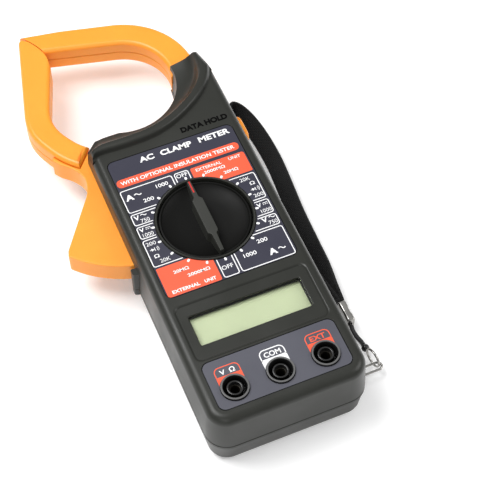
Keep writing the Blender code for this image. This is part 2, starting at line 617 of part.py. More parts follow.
def make_dial():
    """Dished knob with a finger bar, and the rotary switch under it."""
    low, rim = KNOB_Z
    knob = turned("dial_knob", DIAL_CENTRE, [
        (0, low - 0.2), (3.4, low - 0.2), (3.4, low), (KNOB_R, low), (KNOB_R, rim - 0.4),
        (KNOB_R - 0.4, rim), (KNOB_R - 1.0, rim), (KNOB_R - 3.5, rim - 1.3), (KNOB_R - 8.0, rim - 2.2),
        (4.0, rim - 2.6), (0, rim - 2.6)], BLACK, sides=40)
    cx, cy = DIAL_CENTRE
    bar = []
    for side in (1, -1):
        stretch = [(BAR_HALF_WIDTH, -BAR_WIDE_HALF_LENGTH + 1.2), (BAR_HALF_WIDTH, BAR_WIDE_HALF_LENGTH - 1.2),
                   (BAR_END_HALF_WIDTH, BAR_WIDE_HALF_LENGTH + 1.2), (BAR_END_HALF_WIDTH, BAR_HALF_LENGTH)]
        bar += [(cx + side * x, cy + side * y) for x, y in stretch]
        bar += [(cx - side * BAR_END_HALF_WIDTH, cy + side * BAR_HALF_LENGTH)]
        bar += [(cx - side * BAR_END_HALF_WIDTH, cy + side * (BAR_WIDE_HALF_LENGTH + 1.2))]
    boolean(knob, loft("knob_bar", [(bar, low + 1), (bar, BAR_TOP_Z - 0.8),
                                    (plan_at(bar, 0.35), BAR_TOP_Z)]), "UNION")
    smooth(knob)

    rotor = turned("switch_rotor", DIAL_CENTRE, [
        (0, ROTOR_Z[0]), (ROTOR_R, ROTOR_Z[0]), (ROTOR_R, ROTOR_Z[1]), (0, ROTOR_Z[1])], IVORY, sides=40)
    for side in (1, -1):
        y_range = sorted((cy + side * 9.5, cy + side * (ROTOR_R + 1)))
        boolean(rotor, box(f"detent_channel_{side}", (cx - 0.95, cx + 0.95), y_range,
                           (ROTOR_Z[0] + 0.0, ROTOR_Z[1] + 1)))
    smooth(rotor)
    for number, side in enumerate((1, -1), 1):
        middle = (cx, cy + side * (ROTOR_R + 0.2))
        ball = turned(f"detent_ball_{number}", middle, [
            (BALL_R * math.sin(math.pi * k / 6) if 0 < k < 6 else 0,
             ROTOR_Z[0] + 0.8 - BALL_R * math.cos(math.pi * k / 6)) for k in range(7)], STEEL, sides=10)
        smooth(ball, 60)
        coil = [(cx + 0.55 * math.cos(0.9 * k), cy + side * (10 + 0.17 * k),
                 ROTOR_Z[0] + 0.8 + 0.55 * math.sin(0.9 * k)) for k in range(26)]
        tube(f"detent_spring_{number}", coil, 0.12, STEEL, resolution=0)
    for label, radius in (("inner", 6.5), ("outer", 11.5)):
        plan = arc(DIAL_CENTRE, radius - 0.9, 200, 340, 14) + arc(DIAL_CENTRE, radius + 0.9, 340, 200, 14)
        prism(f"rotor_contact_{label}", plan, (BOARD_Z[1] + 0.15, ROTOR_Z[0] - 0.15), BRASS)

    inner, outer = DETENT_RING_R
    notched = []
    for k in range(DETENT_COUNT * 4):
        depth = 0.6 if k % 4 == 0 else 0.0
        notched.append(polar(DIAL_CENTRE, inner + depth, 90 + 360 * k / (DETENT_COUNT * 4)))
    ring = disc("detent_ring", DIAL_CENTRE, outer, (BOARD_Z[1] + 0.15, ROTOR_Z[1]), IVORY, sides=40)
    boolean(ring, prism("detent_notches", notched, (20, 40)))


# ---------------------------------------------------------------- electronics

def make_electronics():
    """Circuit board, chip, buzzer, battery and its snap."""
    y0, y1 = BOARD_Y
    board = box("main_board", (-BOARD_X, BOARD_X), (y0, y1), BOARD_Z, BOARD_GREEN)
    for x in socket_places():
        boolean(board, disc(f"board_socket_{x:.0f}", (x, SOCKET_Y), SOCKET_OUTER_R + GAP, (20, 45)))
    for spot, radius in ((PIVOT, PIN_POST_R + GAP), (CASE_SCREWS[2], POST_R + GAP),
                         (CASE_SCREWS[3], POST_R + GAP), (BOARD_SCREWS[0], 1.3), (BOARD_SCREWS[1], 1.3)):
        boolean(board, disc(f"board_hole_{spot[0]:.0f}_{spot[1]:.0f}", spot, radius, (20, 45), sides=14))
    chip = turned("meter_chip", (8, -2), [(0, 23.2), (6.5, 23.2), (7.0, 23.7), (7.0, 24.9), (0, 24.9)],
                  BLACK, sides=24)
    smooth(chip)
    buzzer = turned("buzzer", (18, 26), [(1.2, 18.2), (6.0, 18.2), (6.0, 24.9), (0, 24.9), (0, 20.0),
                                         (1.2, 20.0)], BLACK, sides=24)
    smooth(buzzer)
    w, length, height = BATTERY_SIZE
    y_top = BATTERY_Y0 + length
    battery = box("battery", (-w / 2, w / 2), (BATTERY_Y0, y_top), (BATTERY_Z0, BATTERY_Z0 + height), SLATE)
    bevel = battery.modifiers.new("edge", "BEVEL")
    bevel.width = 1.5 * MM
    bevel.segments = 2
    snap = box("battery_snap", (-w / 2 + 1, w / 2 - 1), (y_top + GAP, y_top + 5.2),
               (BATTERY_Z0 + 3, BATTERY_Z0 + 14.5), BLACK)
    snap_edge = snap.modifiers.new("edge", "BEVEL")
    snap_edge.width = 1.0 * MM
    snap_edge.segments = 2


def make_battery_door():
    """Flat door with a screw hole and thumb ribs."""
    door = box("battery_door", (-DOOR_X, DOOR_X), DOOR_Y, DOOR_Z, CASE_GREY)
    boolean(door, disc("door_screw_hole", (0, -5.6), 1.5, (-5, 30), sides=12))
    boolean(door, disc("door_screw_seat", (0, -5.6), 2.5, (-5, 1.8), sides=14))
    for k in range(5):
        y = -52 + 2.4 * k
        boolean(door, box(f"door_groove_{k}", (-7, 7), (y, y + 1.1), (-3, 0.6)))


def make_hold():
    """Side button, its plunger and the push switch on the board."""
    y, z = HOLD_Y, HOLD_Z
    shape = bmesh.new()
    sections = ((31.6, 1.1), (HALF_WIDTH - 0.2, 1.0), (HOLD_FACE_X - 1.4, 0.97), (HOLD_FACE_X - 0.4, 0.86),
                (HOLD_FACE_X, 0.6))
    loops = []
    for x, share in sections:
        ends = rounded([(-HOLD_HALF_LENGTH, -HOLD_HALF_HEIGHT, 2.6), (HOLD_HALF_LENGTH, -HOLD_HALF_HEIGHT, 2.6),
                        (HOLD_HALF_LENGTH, HOLD_HALF_HEIGHT, 2.6), (-HOLD_HALF_LENGTH, HOLD_HALF_HEIGHT, 2.6)], 5)
        share = min(share, 1.0)
        loops.append([shape.verts.new((x, y + a * share, z + b * share)) for a, b in ends])
    for low, high in zip(loops, loops[1:]):
        for i in range(len(low)):
            j = (i + 1) % len(low)
            shape.faces.new((low[i], low[j], high[j], high[i]))
    shape.faces.new(loops[0])
    shape.faces.new(reversed(loops[-1]))
    button = from_bmesh("hold_button", shape, JAW_ORANGE)
    smooth(button)
    box("hold_plunger", (27.6, 31.3), (y - 1.6, y + 1.6), (z - 1.2, z + 1.2), BLACK)
    body = box("hold_switch", (23.0, 29.6), (y - 3.4, y + 3.4), (z - 2.8, BOARD_Z[0] - GAP), STEEL)
    boolean(body, box("plunger_room", (27.6 - HOLD_TRAVEL - GAP, 32), (y - 1.9, y + 1.9), (z - 1.5, z + 1.5)))


# ---------------------------------------------------------------- jaws

def fixed_line(radius):
    """Tangent point where the straight stretch of the fixed jaw starts, and its direction."""
    start = polar(FIXED_CENTRE, radius, FIXED_LEAN)
    along = (-math.sin(math.radians(FIXED_LEAN)), math.cos(math.radians(FIXED_LEAN)))
    return start, along


def parting_curve(shift):
    """Points of the joint between the two jaws, from the outside in, moved along x."""
    ends = (MOVING_CORNER, (-34.2, 155.8), MOVING_TIP, MOVING_NOSE)
    return [(x + shift, y) for x, y in smooth_route(ends, 4)]


def fixed_plan():
    """Plan of the fixed jaw, anticlockwise from its root."""
    outer = arc(FIXED_CENTRE, FIXED_OUTER_R, FIXED_ROOT_ANGLE, FIXED_LEAN, 14)
    inner = arc(FIXED_CENTRE, FIXED_INNER_R, FIXED_LEAN, FIXED_ROOT_ANGLE, 12)
    joint = parting_curve(GAP / 2)
    start, along = fixed_line(FIXED_OUTER_R)
    reach = (MOVING_CORNER[0] + 1.2 - start[0]) / along[0]
    corner = (start[0] + along[0] * reach, start[1] + along[1] * reach)
    start, along = fixed_line(FIXED_INNER_R)
    reach = (joint[-3][0] - start[0]) / along[0]
    nose = (start[0] + along[0] * reach, start[1] + along[1] * reach)
    middle = [point for point in joint[1:] if nose[1] < point[1] < corner[1] - 0.6]
    return outer + [corner] + middle + [nose] + inner


def moving_plan():
    """Plan of the moving jaw, anticlockwise from its outer corner."""
    joint = parting_curve(-GAP / 2)
    lean = math.degrees(math.atan2(MOVING_CORNER[1] - 121.0, MOVING_CORNER[0] + 50.0)) + 90
    outer = arc(MOVING_CENTRE, MOVING_OUTER_R, lean, 360 + MOVING_ROOT_ANGLE, 12)
    inner = arc(MOVING_CENTRE, MOVING_INNER_R, 360 + MOVING_ROOT_ANGLE, 162.5, 10)
    return outer + inner + joint[::-1]


def core_route(reach=26.0):
    """Middle line of the fixed core from the jaw joint to the pivot."""
    middle_r = (FIXED_INNER_R + FIXED_OUTER_R) / 2
    start, along = fixed_line(middle_r)
    route = [(start[0] + along[0] * reach, start[1] + along[1] * reach)]
    route += arc(FIXED_CENTRE, middle_r, FIXED_LEAN, 0, 12)
    end_angle = math.degrees(math.acos((CORE_MEET_X + 0.5 - CORE_CENTRE[0]) / CORE_R))
    route += arc(CORE_CENTRE, CORE_R, 0, -end_angle, 16)
    return route


def moving_core_route():
    """Middle line of the moving core from the jaw joint to the pivot."""
    middle_r = (MOVING_INNER_R + MOVING_OUTER_R) / 2
    end_angle = math.degrees(math.acos((CORE_MEET_X - 0.3 - MOVING_CENTRE[0]) / middle_r))
    return [(-38.4, 151.0)] + arc(MOVING_CENTRE, middle_r, 163.5, 360 - end_angle, 14)


def band(route, width):
    """Outline of a strip of a given width along a middle line."""
    left, right = [], []
    for i, point in enumerate(route):
        a = Vector(route[max(i - 1, 0)])
        b = Vector(route[min(i + 1, len(route) - 1)])
        along = (b - a).normalized()
        side = Vector((-along.y, along.x)) * width / 2
        left.append(tuple(Vector(point) + side))
        right.append(tuple(Vector(point) - side))
    return right + left[::-1]


def jaw_shell(name, plan, z_range, open_low, route):
    """Half shell of a jaw with rounded outer edges and a channel for the core."""
    low, high = z_range
    edge = 1.3
    steps = ((0.0, edge), (edge * 0.3, edge * 0.3), (edge, 0.0))
    if open_low:
        rings = [(plan, low)] + [(plan_at(plan, shift), high - drop) for shift, drop in steps]
    else:
        rings = [(plan_at(plan, shift), low + drop) for shift, drop in steps[::-1]] + [(plan, high)]
    shell = loft(name, rings, JAW_ORANGE)
    channel = (low - 5, CORE_Z[1] + GAP) if open_low else (CORE_Z[0] - GAP, high + 5)
    boolean(shell, prism(f"{name}_channel", band(route, CORE_WIDTH + 2 * GAP), channel))
    smooth(shell)


def make_jaws():
    """Two shells and a laminated core for each jaw."""
    front = (JAW_SPLIT_Z + GAP / 2, JAW_Z[1])
    rear = (JAW_Z[0], JAW_SPLIT_Z - GAP / 2)
    jaw_shell("fixed_jaw_front_shell", fixed_plan(), front, True, core_route(26.6))
    jaw_shell("fixed_jaw_rear_shell", fixed_plan(), rear, False, core_route(26.6))
    jaw_shell("moving_jaw_front_shell", moving_plan(), front, True, moving_core_route())
    jaw_shell("moving_jaw_rear_shell", moving_plan(), rear, False, moving_core_route())
    prism("fixed_core", band(core_route(), CORE_WIDTH), CORE_Z, LAMINATION)
    prism("moving_core", band(moving_core_route(), CORE_WIDTH), CORE_Z, LAMINATION)


def make_coil():
    """Bobbin with two cheeks and the copper winding on the fixed core, inside the case."""
    half = CORE_WIDTH / 2
    depth = (CORE_Z[1] - CORE_Z[0]) / 2
    middle_z = (CORE_Z[0] + CORE_Z[1]) / 2
    angles = [-98 + 4 * k for k in range(10)]
    parts = (("coil_bobbin", half + 0.3, half + 1.2, angles, IVORY),
             ("coil_winding", half + 1.5, half + 2.7, angles[1:-1], COPPER))
    for name, inner, outer, stretch, surface in parts:
        shape = bmesh.new()
        grid = []
        for angle in stretch:
            loops = []
            for offset, height in ((inner, inner - half + depth), (outer, outer - half + depth)):
                corners = ((-offset, -height), (offset, -height), (offset, height), (-offset, height))
                loops.append([shape.verts.new((*polar(CORE_CENTRE, CORE_R + r, angle), middle_z + h))
                              for r, h in corners])
            grid.append(loops)
        for here, there in zip(grid, grid[1:]):
            for side in (0, 1):
                for i in range(4):
                    j = (i + 1) % 4
                    shape.faces.new((here[side][i], here[side][j], there[side][j], there[side][i]))
        for inner_loop, outer_loop in (grid[0], grid[-1]):
            for i in range(4):
                j = (i + 1) % 4
                shape.faces.new((inner_loop[i], inner_loop[j], outer_loop[j], outer_loop[i]))
        from_bmesh(name, shape, surface)


# ---------------------------------------------------------------- clamp lever

def lever_plan():
    """Plan of the trigger fan, its neck, the ledge under the jaw and the hub."""
    fan = arc(PIVOT, FAN_R, FAN_FROM, FAN_TO, 12)
    neck = [(-41.6, 64.8), (-39.0, 69.2), (-37.6, 74.4), (-38.6, 79.3), (-41.6, 83.9), (-45.2, 87.4),
            (-47.4, 90.6)]
    ledge = arc(MOVING_CENTRE, MOVING_OUTER_R + GAP, 360 - 152, 360 + MOVING_ROOT_ANGLE + 0.5, 8)
    root = [polar(MOVING_CENTRE, MOVING_INNER_R + 0.6, MOVING_ROOT_ANGLE + 0.6), (-27.4, 87.4),
            (CORE_MEET_X - 0.6, 84.4)]
    hub = arc(PIVOT, HUB_R, 88, -70, 8)
    inner_edge = [(PIVOT[0] - 3.2, PIVOT[1] - 9.0)]
    return (fan[:-1] + [polar(PIVOT, FAN_R - 0.4, FAN_TO), polar(PIVOT, FAN_R - 2.4, FAN_TO - 1.6)] + neck
            + ledge + root + hub + inner_edge)[::-1]


def make_lever():
    """One-piece trigger lever with a pocket for the core's end and a bore for the pin."""
    plan = lever_plan()
    low, high = LEVER_Z
    edge = 0.5
    lever = loft("trigger_lever", [(plan_at(plan, edge), low), (plan, low + edge), (plan, high - edge),
                                   (plan_at(plan, edge), high)], JAW_ORANGE)
    boolean(lever, prism("core_pocket", band(moving_core_route()[-10:], CORE_WIDTH + 2 * GAP),
                         (CORE_Z[0] - GAP, CORE_Z[1] + GAP)))
    boolean(lever, disc("hub_bore", PIVOT, PIN_R + GAP, (5, 40), sides=20))
    smooth(lever)
    pin = turned("pivot_pin", PIVOT, [(0, PIN_Z[0]), (PIN_R - 0.3, PIN_Z[0]), (PIN_R, PIN_Z[0] + 0.3),
                                      (PIN_R, PIN_Z[1] - 0.3), (PIN_R - 0.3, PIN_Z[1]), (0, PIN_Z[1])],
                 STEEL, sides=20)
    smooth(pin)
    turns, per_turn, pitch = 5, 10, 1.25
    coil = [(PIVOT[0] + 11.0, PIVOT[1] - SPRING_COIL_R, 6.4)]
    for k in range(turns * per_turn + 1):
        x, y = polar(PIVOT, SPRING_COIL_R, -90 - 360 * k / per_turn)
        coil.append((x, y, 6.4 + pitch * k / per_turn))
    coil.append((PIVOT[0] - 9.0, PIVOT[1] - SPRING_COIL_R, 6.4 + pitch * turns))
    tube("trigger_spring", coil, SPRING_WIRE_R, STEEL, resolution=1)


# ---------------------------------------------------------------- wrist strap

def make_strap():
    """Webbing loop, crimp, thin cord, bead, ring and link at the meter's flank."""
    route = smooth_route(STRAP_ROUTE, 3)
    shape = bmesh.new()
    sections = []
    for i, (x, y, z, lean) in enumerate(route):
        here = Vector((x, y, z))
        a = Vector(route[max(i - 1, 0)][:3])
        b = Vector(route[min(i + 1, len(route) - 1)][:3])
        along = (b - a).normalized()
        tilt = math.radians(lean)
        across = Vector((math.sin(tilt), 0, math.cos(tilt)))
        across = (across - along * across.dot(along)).normalized()
        squeeze = min(1.0, 0.7 + min(i, len(route) - 1 - i) * 0.05)
        half = across * STRAP_WIDTH / 2 * squeeze
        thick = along.cross(across).normalized() * STRAP_THICKNESS / 2
        sections.append([shape.verts.new(here + half * s + thick * t)
                         for s, t in ((-1, -1), (1, -1), (1, 1), (-1, 1))])
    for here, there in zip(sections, sections[1:]):
        for i in range(4):
            j = (i + 1) % 4
            shape.faces.new((here[i], here[j], there[j], there[i]))
    shape.faces.new(sections[0])
    shape.faces.new(reversed(sections[-1]))
    from_bmesh("strap_webbing", shape, BLACK)

    crimp = box("strap_crimp", CRIMP_X, CRIMP_Y, CRIMP_Z, STEEL)
    edge = crimp.modifiers.new("edge", "BEVEL")
    edge.width = 0.9 * MM
    edge.segments = 2
    tube("strap_cord", smooth_route(CORD_ROUTE, 3), CORD_R, BLACK)
    bead = bmesh.new()
    bmesh.ops.create_uvsphere(bead, u_segments=12, v_segments=8, radius=BEAD_R)
    bmesh.ops.translate(bead, verts=bead.verts, vec=BEAD_CENTRE)
    smooth(from_bmesh("strap_bead", bead, BLACK), 60)

    turn = math.radians(RING_TURN)
    ring = []
    for k in range(20):
        angle = math.tau * k / 20
        reach = RING_R * math.cos(angle)
        ring.append((RING_CENTRE[0] + reach * math.cos(turn), RING_CENTRE[1] + reach * math.sin(turn),
                     RING_CENTRE[2] + RING_R * math.sin(angle)))
    tube("strap_ring", ring, RING_WIRE_R, STEEL, cyclic=True)
    (x0, x1), half = LINK_X, LINK_HALF_WIDTH
    stadium = arc((x0 + half, LINK_Y), half, 90, 270, 7) + arc((x1 - half, LINK_Y), half, -90, 90, 7)
    tube("strap_link", [(x, y, LINK_Z) for x, y in stadium], RING_WIRE_R, STEEL, cyclic=True)


def main():
    """Build every piece in order."""
    clear_scene()
    make_front_case()
    make_rear_case()
    make_screws()
    make_labels()
    make_display()
    make_sockets()
    make_dial()
    make_electronics()
    make_battery_door()
    make_hold()
    make_jaws()
    make_coil()
    make_lever()
    make_strap()


main()
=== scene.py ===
"""Clamp meter: the visible pieces, their finishes, the studio and the camera.

Every size is in millimetres in the meter's own frame: the origin is on the flat back, +Y runs
from the sockets to the jaws, +X points to the hold button and +Z out of the front face.
"""
from __future__ import annotations

import json
import logging
import math
import sys
from dataclasses import dataclass
from enum import Enum
from typing import Callable, Iterable, Sequence

import bmesh
import bpy
from mathutils import Matrix, Vector

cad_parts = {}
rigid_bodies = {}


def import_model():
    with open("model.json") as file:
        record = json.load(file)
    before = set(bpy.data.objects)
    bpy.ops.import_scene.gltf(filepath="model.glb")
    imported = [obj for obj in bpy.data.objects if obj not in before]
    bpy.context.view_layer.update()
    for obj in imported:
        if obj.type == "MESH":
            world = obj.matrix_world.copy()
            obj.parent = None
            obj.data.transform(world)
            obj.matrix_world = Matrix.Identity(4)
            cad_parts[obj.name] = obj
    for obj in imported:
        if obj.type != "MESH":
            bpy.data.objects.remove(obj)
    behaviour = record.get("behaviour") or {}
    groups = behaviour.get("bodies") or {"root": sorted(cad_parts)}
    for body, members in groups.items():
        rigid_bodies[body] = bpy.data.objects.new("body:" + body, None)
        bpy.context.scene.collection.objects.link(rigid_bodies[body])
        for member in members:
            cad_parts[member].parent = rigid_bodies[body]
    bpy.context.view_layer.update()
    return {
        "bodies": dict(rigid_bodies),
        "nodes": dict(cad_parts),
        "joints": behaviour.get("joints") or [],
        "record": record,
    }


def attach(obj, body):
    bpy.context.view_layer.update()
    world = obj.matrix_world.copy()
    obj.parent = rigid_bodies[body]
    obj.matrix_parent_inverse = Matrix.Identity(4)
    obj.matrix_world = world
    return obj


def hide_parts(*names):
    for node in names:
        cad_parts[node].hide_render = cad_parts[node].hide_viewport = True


LOG = logging.getLogger("clamp_meter")
MM = 0.001  # metres in a millimetre
FILM = 0.03  # thickness of print, in millimetres
DIAL = (0.0, 30.0)
PIVOT = (-21.0, 72.0)
SOCKET_X = (-19.15, 0.0, 19.15)
SOCKET_Y = -47.9
CASE_HEIGHT = 34.0
Point = Sequence[float]
Outline = list[tuple[float, float]]
Mesh = bpy.types.Mesh
Item = bpy.types.Object
Nodes = dict[str, bpy.types.Object]
Tree = bpy.types.NodeTree
Node = bpy.types.Node
Socket = bpy.types.NodeSocket


class Body(Enum):
    """Rigid bodies of the meter."""

    CASE = "case"
    CLAMP = "clamp"
    DIAL = "dial"
    HOLD = "hold_key"


def link(item: Item) -> Item:
    """Put an object in the scene's own collection."""
    bpy.context.scene.collection.objects.link(item)
    return item


def evaluated_mesh(item: Item) -> Mesh:
    """Return an object's mesh with its modifiers worked out."""
    bpy.context.view_layer.update()
    graph = bpy.context.evaluated_depsgraph_get()
    return bpy.data.meshes.new_from_object(item.evaluated_get(graph))


# ------------------------------------------------------------------ outlines

def polar(centre: Point, radius: float, degrees: float) -> tuple[float, float]:
    """Return the point at a radius and an angle from a centre."""
    angle = math.radians(degrees)
    return centre[0] + radius * math.cos(angle), centre[1] + radius * math.sin(angle)


def arc(centre: Point, radius: float, start: float, end: float, steps: int) -> Outline:
    """List the points of an arc in degrees, both ends included."""
    return [polar(centre, radius, start + (end - start) * i / steps) for i in range(steps + 1)]


def circle(centre: Point, radius: float, sides: int) -> Outline:
    """List the corners of a round outline."""
    return arc(centre, radius, 0, 360, sides)[:-1]


def rounded(corners: Sequence[Point], steps: int = 8) -> Outline:
    """Turn (x, y, radius) corners into an outline with round corners.

    Args:
        corners: anticlockwise corners; a radius of 0 keeps the corner sharp.
        steps: stretches in each round corner.

    Returns:
        The points of the outline.
    """
    points: Outline = []
    count = len(corners)
    for i, (x, y, radius) in enumerate(corners):
        if radius == 0:
            points.append((x, y))
            continue
        here = Vector((x, y))
        before = (Vector(corners[i - 1][:2]) - here).normalized()
        after = (Vector(corners[(i + 1) % count][:2]) - here).normalized()
        half = before.angle(after) / 2
        middle = here + (before + after).normalized() * (radius / math.sin(half))
        first = here + before * (radius / math.tan(half)) - middle
        last = here + after * (radius / math.tan(half)) - middle
        turn = first.angle_signed(last)
        for k in range(steps + 1):
            spin = Matrix.Rotation(-turn * k / steps, 2)
            points.append(tuple(middle + spin @ first))
    return points


def inset(corners: Sequence[Point], distance: float) -> list[Point]:
    """Move an anticlockwise outline inwards; a round corner keeps its centre.

    Args:
        corners: (x, y) or (x, y, radius) corners.
        distance: how far inwards, or outwards where it is negative.

    Returns:
        The moved corners with a radius each.
    """
    moved: list[Point] = []
    count = len(corners)
    for i, corner in enumerate(corners):
        here = Vector(corner[:2])
        before = (here - Vector(corners[i - 1][:2])).normalized()
        after = (Vector(corners[(i + 1) % count][:2]) - here).normalized()
        normal = Vector((-before.y - after.y, before.x + after.x)).normalized()
        scale = max(normal.dot(Vector((-before.y, before.x))), 0.5)
        spot = here + normal * (distance / scale)
        radius = corner[2] if len(corner) > 2 else 0
        if radius > 0:
            bend = before.x * after.y - before.y * after.x
            radius = max(radius - math.copysign(distance, bend), 0.5)
        moved.append((spot.x, spot.y, radius))
    return moved


def plan_at(corners: Sequence[Point], distance: float, steps: int = 8) -> Outline:
    """Return the outline of a set of corners, moved inwards by a distance."""
    return rounded(inset(corners, distance), steps)


def box(x: Point, y: Point, radius: float) -> list[Point]:
    """Corners of a rectangle with round corners, from its ranges."""
    return [(x[0], y[0], radius), (x[1], y[0], radius), (x[1], y[1], radius), (x[0], y[1], radius)]


def slab(x: float, y: Point, radius: float) -> list[Point]:
    """Corners of a rectangle with round corners that is centred on x = 0."""
    return box((-x, x), y, radius)


def eased(share: float) -> float:
    """Ease a share from 0 to 1 so that it starts and ends at rest."""
    share = min(max(share, 0.0), 1.0)
    return share * share * (3 - 2 * share)


def quarter(radius: float, steps: int = 6) -> list[tuple[float, float]]:
    """(inset, drop) pairs of a rounded edge, from the wall to the face."""
    pairs = []
    for k in range(steps + 1):
        angle = math.pi / 2 * k / steps
        pairs.append((radius * (1 - math.cos(angle)), radius * (1 - math.sin(angle))))
    return pairs


def smooth_route(points: Sequence[Point], steps: int) -> list[tuple[float, ...]]:
    """Read a Catmull-Rom curve through points with any number of values each."""
    padded = [points[0], *points, points[-1]]
    route = []
    for a, b, c, d in zip(padded, padded[1:], padded[2:], padded[3:]):
        for k in range(steps):
            t = k / steps
            route.append(tuple(
                0.5 * (2 * q + (r - p) * t + (2 * p - 5 * q + 4 * r - s) * t ** 2
                       + (3 * q - p - 3 * r + s) * t ** 3)
                for p, q, r, s in zip(a, b, c, d)))
    route.append(tuple(points[-1]))
    return route


# ------------------------------------------------------------------ solids

def freed_mesh(shape: bmesh.types.BMesh, name: str) -> Mesh:
    """Write a bmesh to a new mesh and free it."""
    mesh = bpy.data.meshes.new(name)
    shape.to_mesh(mesh)
    shape.free()
    return mesh


def in_metres(mesh: Mesh) -> Mesh:
    """Scale a mesh from millimetres and take its materials off."""
    mesh.transform(Matrix.Scale(MM, 4))
    mesh.materials.clear()
    return mesh


def skin(shape: bmesh.types.BMesh, loops: Sequence[Sequence[bmesh.types.BMVert]]) -> None:
    """Join each loop of corners to the next one with faces."""
    for low, high in zip(loops, loops[1:]):
        for i in range(len(low)):
            j = (i + 1) % len(low)
            shape.faces.new((low[i], low[j], high[j], high[i]))


class Solid:
    """A closed solid in millimetres that other solids can be cut from or joined to."""

    def __init__(self, shape: bmesh.types.BMesh) -> None:
        """Take over a bmesh and turn its faces outwards."""
        bmesh.ops.recalc_face_normals(shape, faces=shape.faces)
        self.item = link(bpy.data.objects.new("solid", freed_mesh(shape, "solid")))
        self.helpers: list[Solid] = []

    @classmethod
    def loft(cls, rings: Iterable[tuple[Outline, float]]) -> Solid:
        """Join rings of (outline, z) into a closed solid with flat ends."""
        shape = bmesh.new()
        loops = [[shape.verts.new((x, y, z)) for x, y in outline] for outline, z in rings]
        cls.bridge(shape, loops)
        return cls(shape)

    @staticmethod
    def bridge(shape: bmesh.types.BMesh, loops: list[list[bmesh.types.BMVert]]) -> None:
        """Join loops of the same count with faces and close both ends."""
        skin(shape, loops)
        shape.faces.new(reversed(loops[0]))
        shape.faces.new(loops[-1])

    @classmethod
    def prism(cls, outline: Outline, low: float, high: float) -> Solid:
        """Extrude an outline between two heights."""
        return cls.loft([(outline, low), (outline, high)])

    @classmethod
    def block(cls, x: Point, y: Point, z: Point) -> Solid:
        """Make a block from its three ranges."""
        return cls.prism([(x[0], y[0]), (x[1], y[0]), (x[1], y[1]), (x[0], y[1])], z[0], z[1])

    @classmethod
    def pillow(cls, corners: Sequence[Point], z: Point, edge: float) -> Solid:
        """Extrude corners with a rounded edge at the top."""
        top = [(plan_at(corners, shift), z[1] - drop) for shift, drop in quarter(edge)]
        return cls.loft([(plan_at(corners, 0), z[0])] + top)

    @classmethod
    def turned(cls, centre: Point, profile: Sequence[Point], sides: int = 96) -> Solid:
        """Turn a closed (radius, z) profile about an upright axis."""
        shape = bmesh.new()
        axis = {k: shape.verts.new((centre[0], centre[1], z))
                for k, (r, z) in enumerate(profile) if r == 0}
        grid = []
        for i in range(sides):
            c, s = math.cos(math.tau * i / sides), math.sin(math.tau * i / sides)
            grid.append([axis.get(k) or shape.verts.new((centre[0] + r * c, centre[1] + r * s, z))
                         for k, (r, z) in enumerate(profile)])
        for i in range(sides):
            here, there = grid[i], grid[(i + 1) % sides]
            for k in range(len(profile)):
                m = (k + 1) % len(profile)
                corners = list(dict.fromkeys((here[k], there[k], there[m], here[m])))
                if len(corners) > 2:
                    shape.faces.new(corners)
        return cls(shape)

    @classmethod
    def swept(cls, sections: Sequence[Sequence[Vector]], closed: bool = False) -> Solid:
        """Skin a row of sections of the same count."""
        shape = bmesh.new()
        loops = [[shape.verts.new(p) for p in section] for section in sections]
        if closed:
            skin(shape, loops + loops[:1])
        else:
            cls.bridge(shape, loops)
        return cls(shape)

    def _combine(self, other: Solid, operation: str) -> Solid:
        """Add an exact boolean with another solid."""
        step = self.item.modifiers.new(operation, "BOOLEAN")
        step.operation = operation
        step.solver = "EXACT"
        step.object = other.item
        self.helpers.append(other)
        return self

    def cut(self, *others: Solid) -> Solid:
        """Take other solids away."""
        for other in others:
            self._combine(other, "DIFFERENCE")
        return self

    def join(self, *others: Solid) -> Solid:
        """Add other solids."""
        for other in others:
            self._combine(other, "UNION")
        return self

    def meet(self, other: Solid) -> Solid:
        """Keep what is inside another solid."""
        return self._combine(other, "INTERSECT")

    def turn(self, matrix: Matrix) -> Solid:
        """Move the solid's own mesh by a matrix."""
        self.item.data.transform(matrix)
        return self

    def warp(self, move: Callable[[Vector], Vector]) -> Solid:
        """Move every corner of the solid's own mesh by a rule."""
        for vertex in self.item.data.vertices:
            vertex.co = move(vertex.co.copy())
        return self

    def drop(self) -> None:
        """Remove the solid and everything that was combined with it."""
        for helper in self.helpers:
            helper.drop()
        mesh = self.item.data
        bpy.data.objects.remove(self.item)
        bpy.data.meshes.remove(mesh)

    def mesh(self) -> Mesh:
        """Work the solid out, remove its helpers and return a mesh in metres."""
        made = evaluated_mesh(self.item)
        self.drop()
        return in_metres(made)


# ------------------------------------------------------------------ finishes

def node_group(name: str, inputs: dict[str, float], outputs: dict[str, str]
               ) -> tuple[Tree, Node, Node]:
    """Make an empty shader group with named sockets.

    Args:
        name: the group's name.
        inputs: float input sockets with their defaults.
        outputs: output sockets with their socket types.

    Returns:
        The tree and its input and output nodes.
    """
    tree = bpy.data.node_groups.new(name, "ShaderNodeTree")
    tree.interface.new_socket("Vector", in_out="INPUT", socket_type="NodeSocketVector")
    for label, value in inputs.items():
        socket = tree.interface.new_socket(label, in_out="INPUT", socket_type="NodeSocketFloat")
        socket.default_value = value
    for label, kind in outputs.items():
        tree.interface.new_socket(label, in_out="OUTPUT", socket_type=kind)
    return tree, tree.nodes.new("NodeGroupInput"), tree.nodes.new("NodeGroupOutput")


def add_node(tree: Tree, kind: str, inputs: dict[int | str, object], **settings: object) -> Node:
    """Add a node to a tree.

    Args:
        tree: where it goes.
        kind: its type.
        inputs: sockets or plain values by the input that they feed.
        settings: its properties.

    Returns:
        The node.
    """
    node = tree.nodes.new(kind)
    for label, value in settings.items():
        setattr(node, label, value)
    for key, value in inputs.items():
        if isinstance(value, Socket):
            tree.links.new(value, node.inputs[key])
        else:
            node.inputs[key].default_value = value
    return node


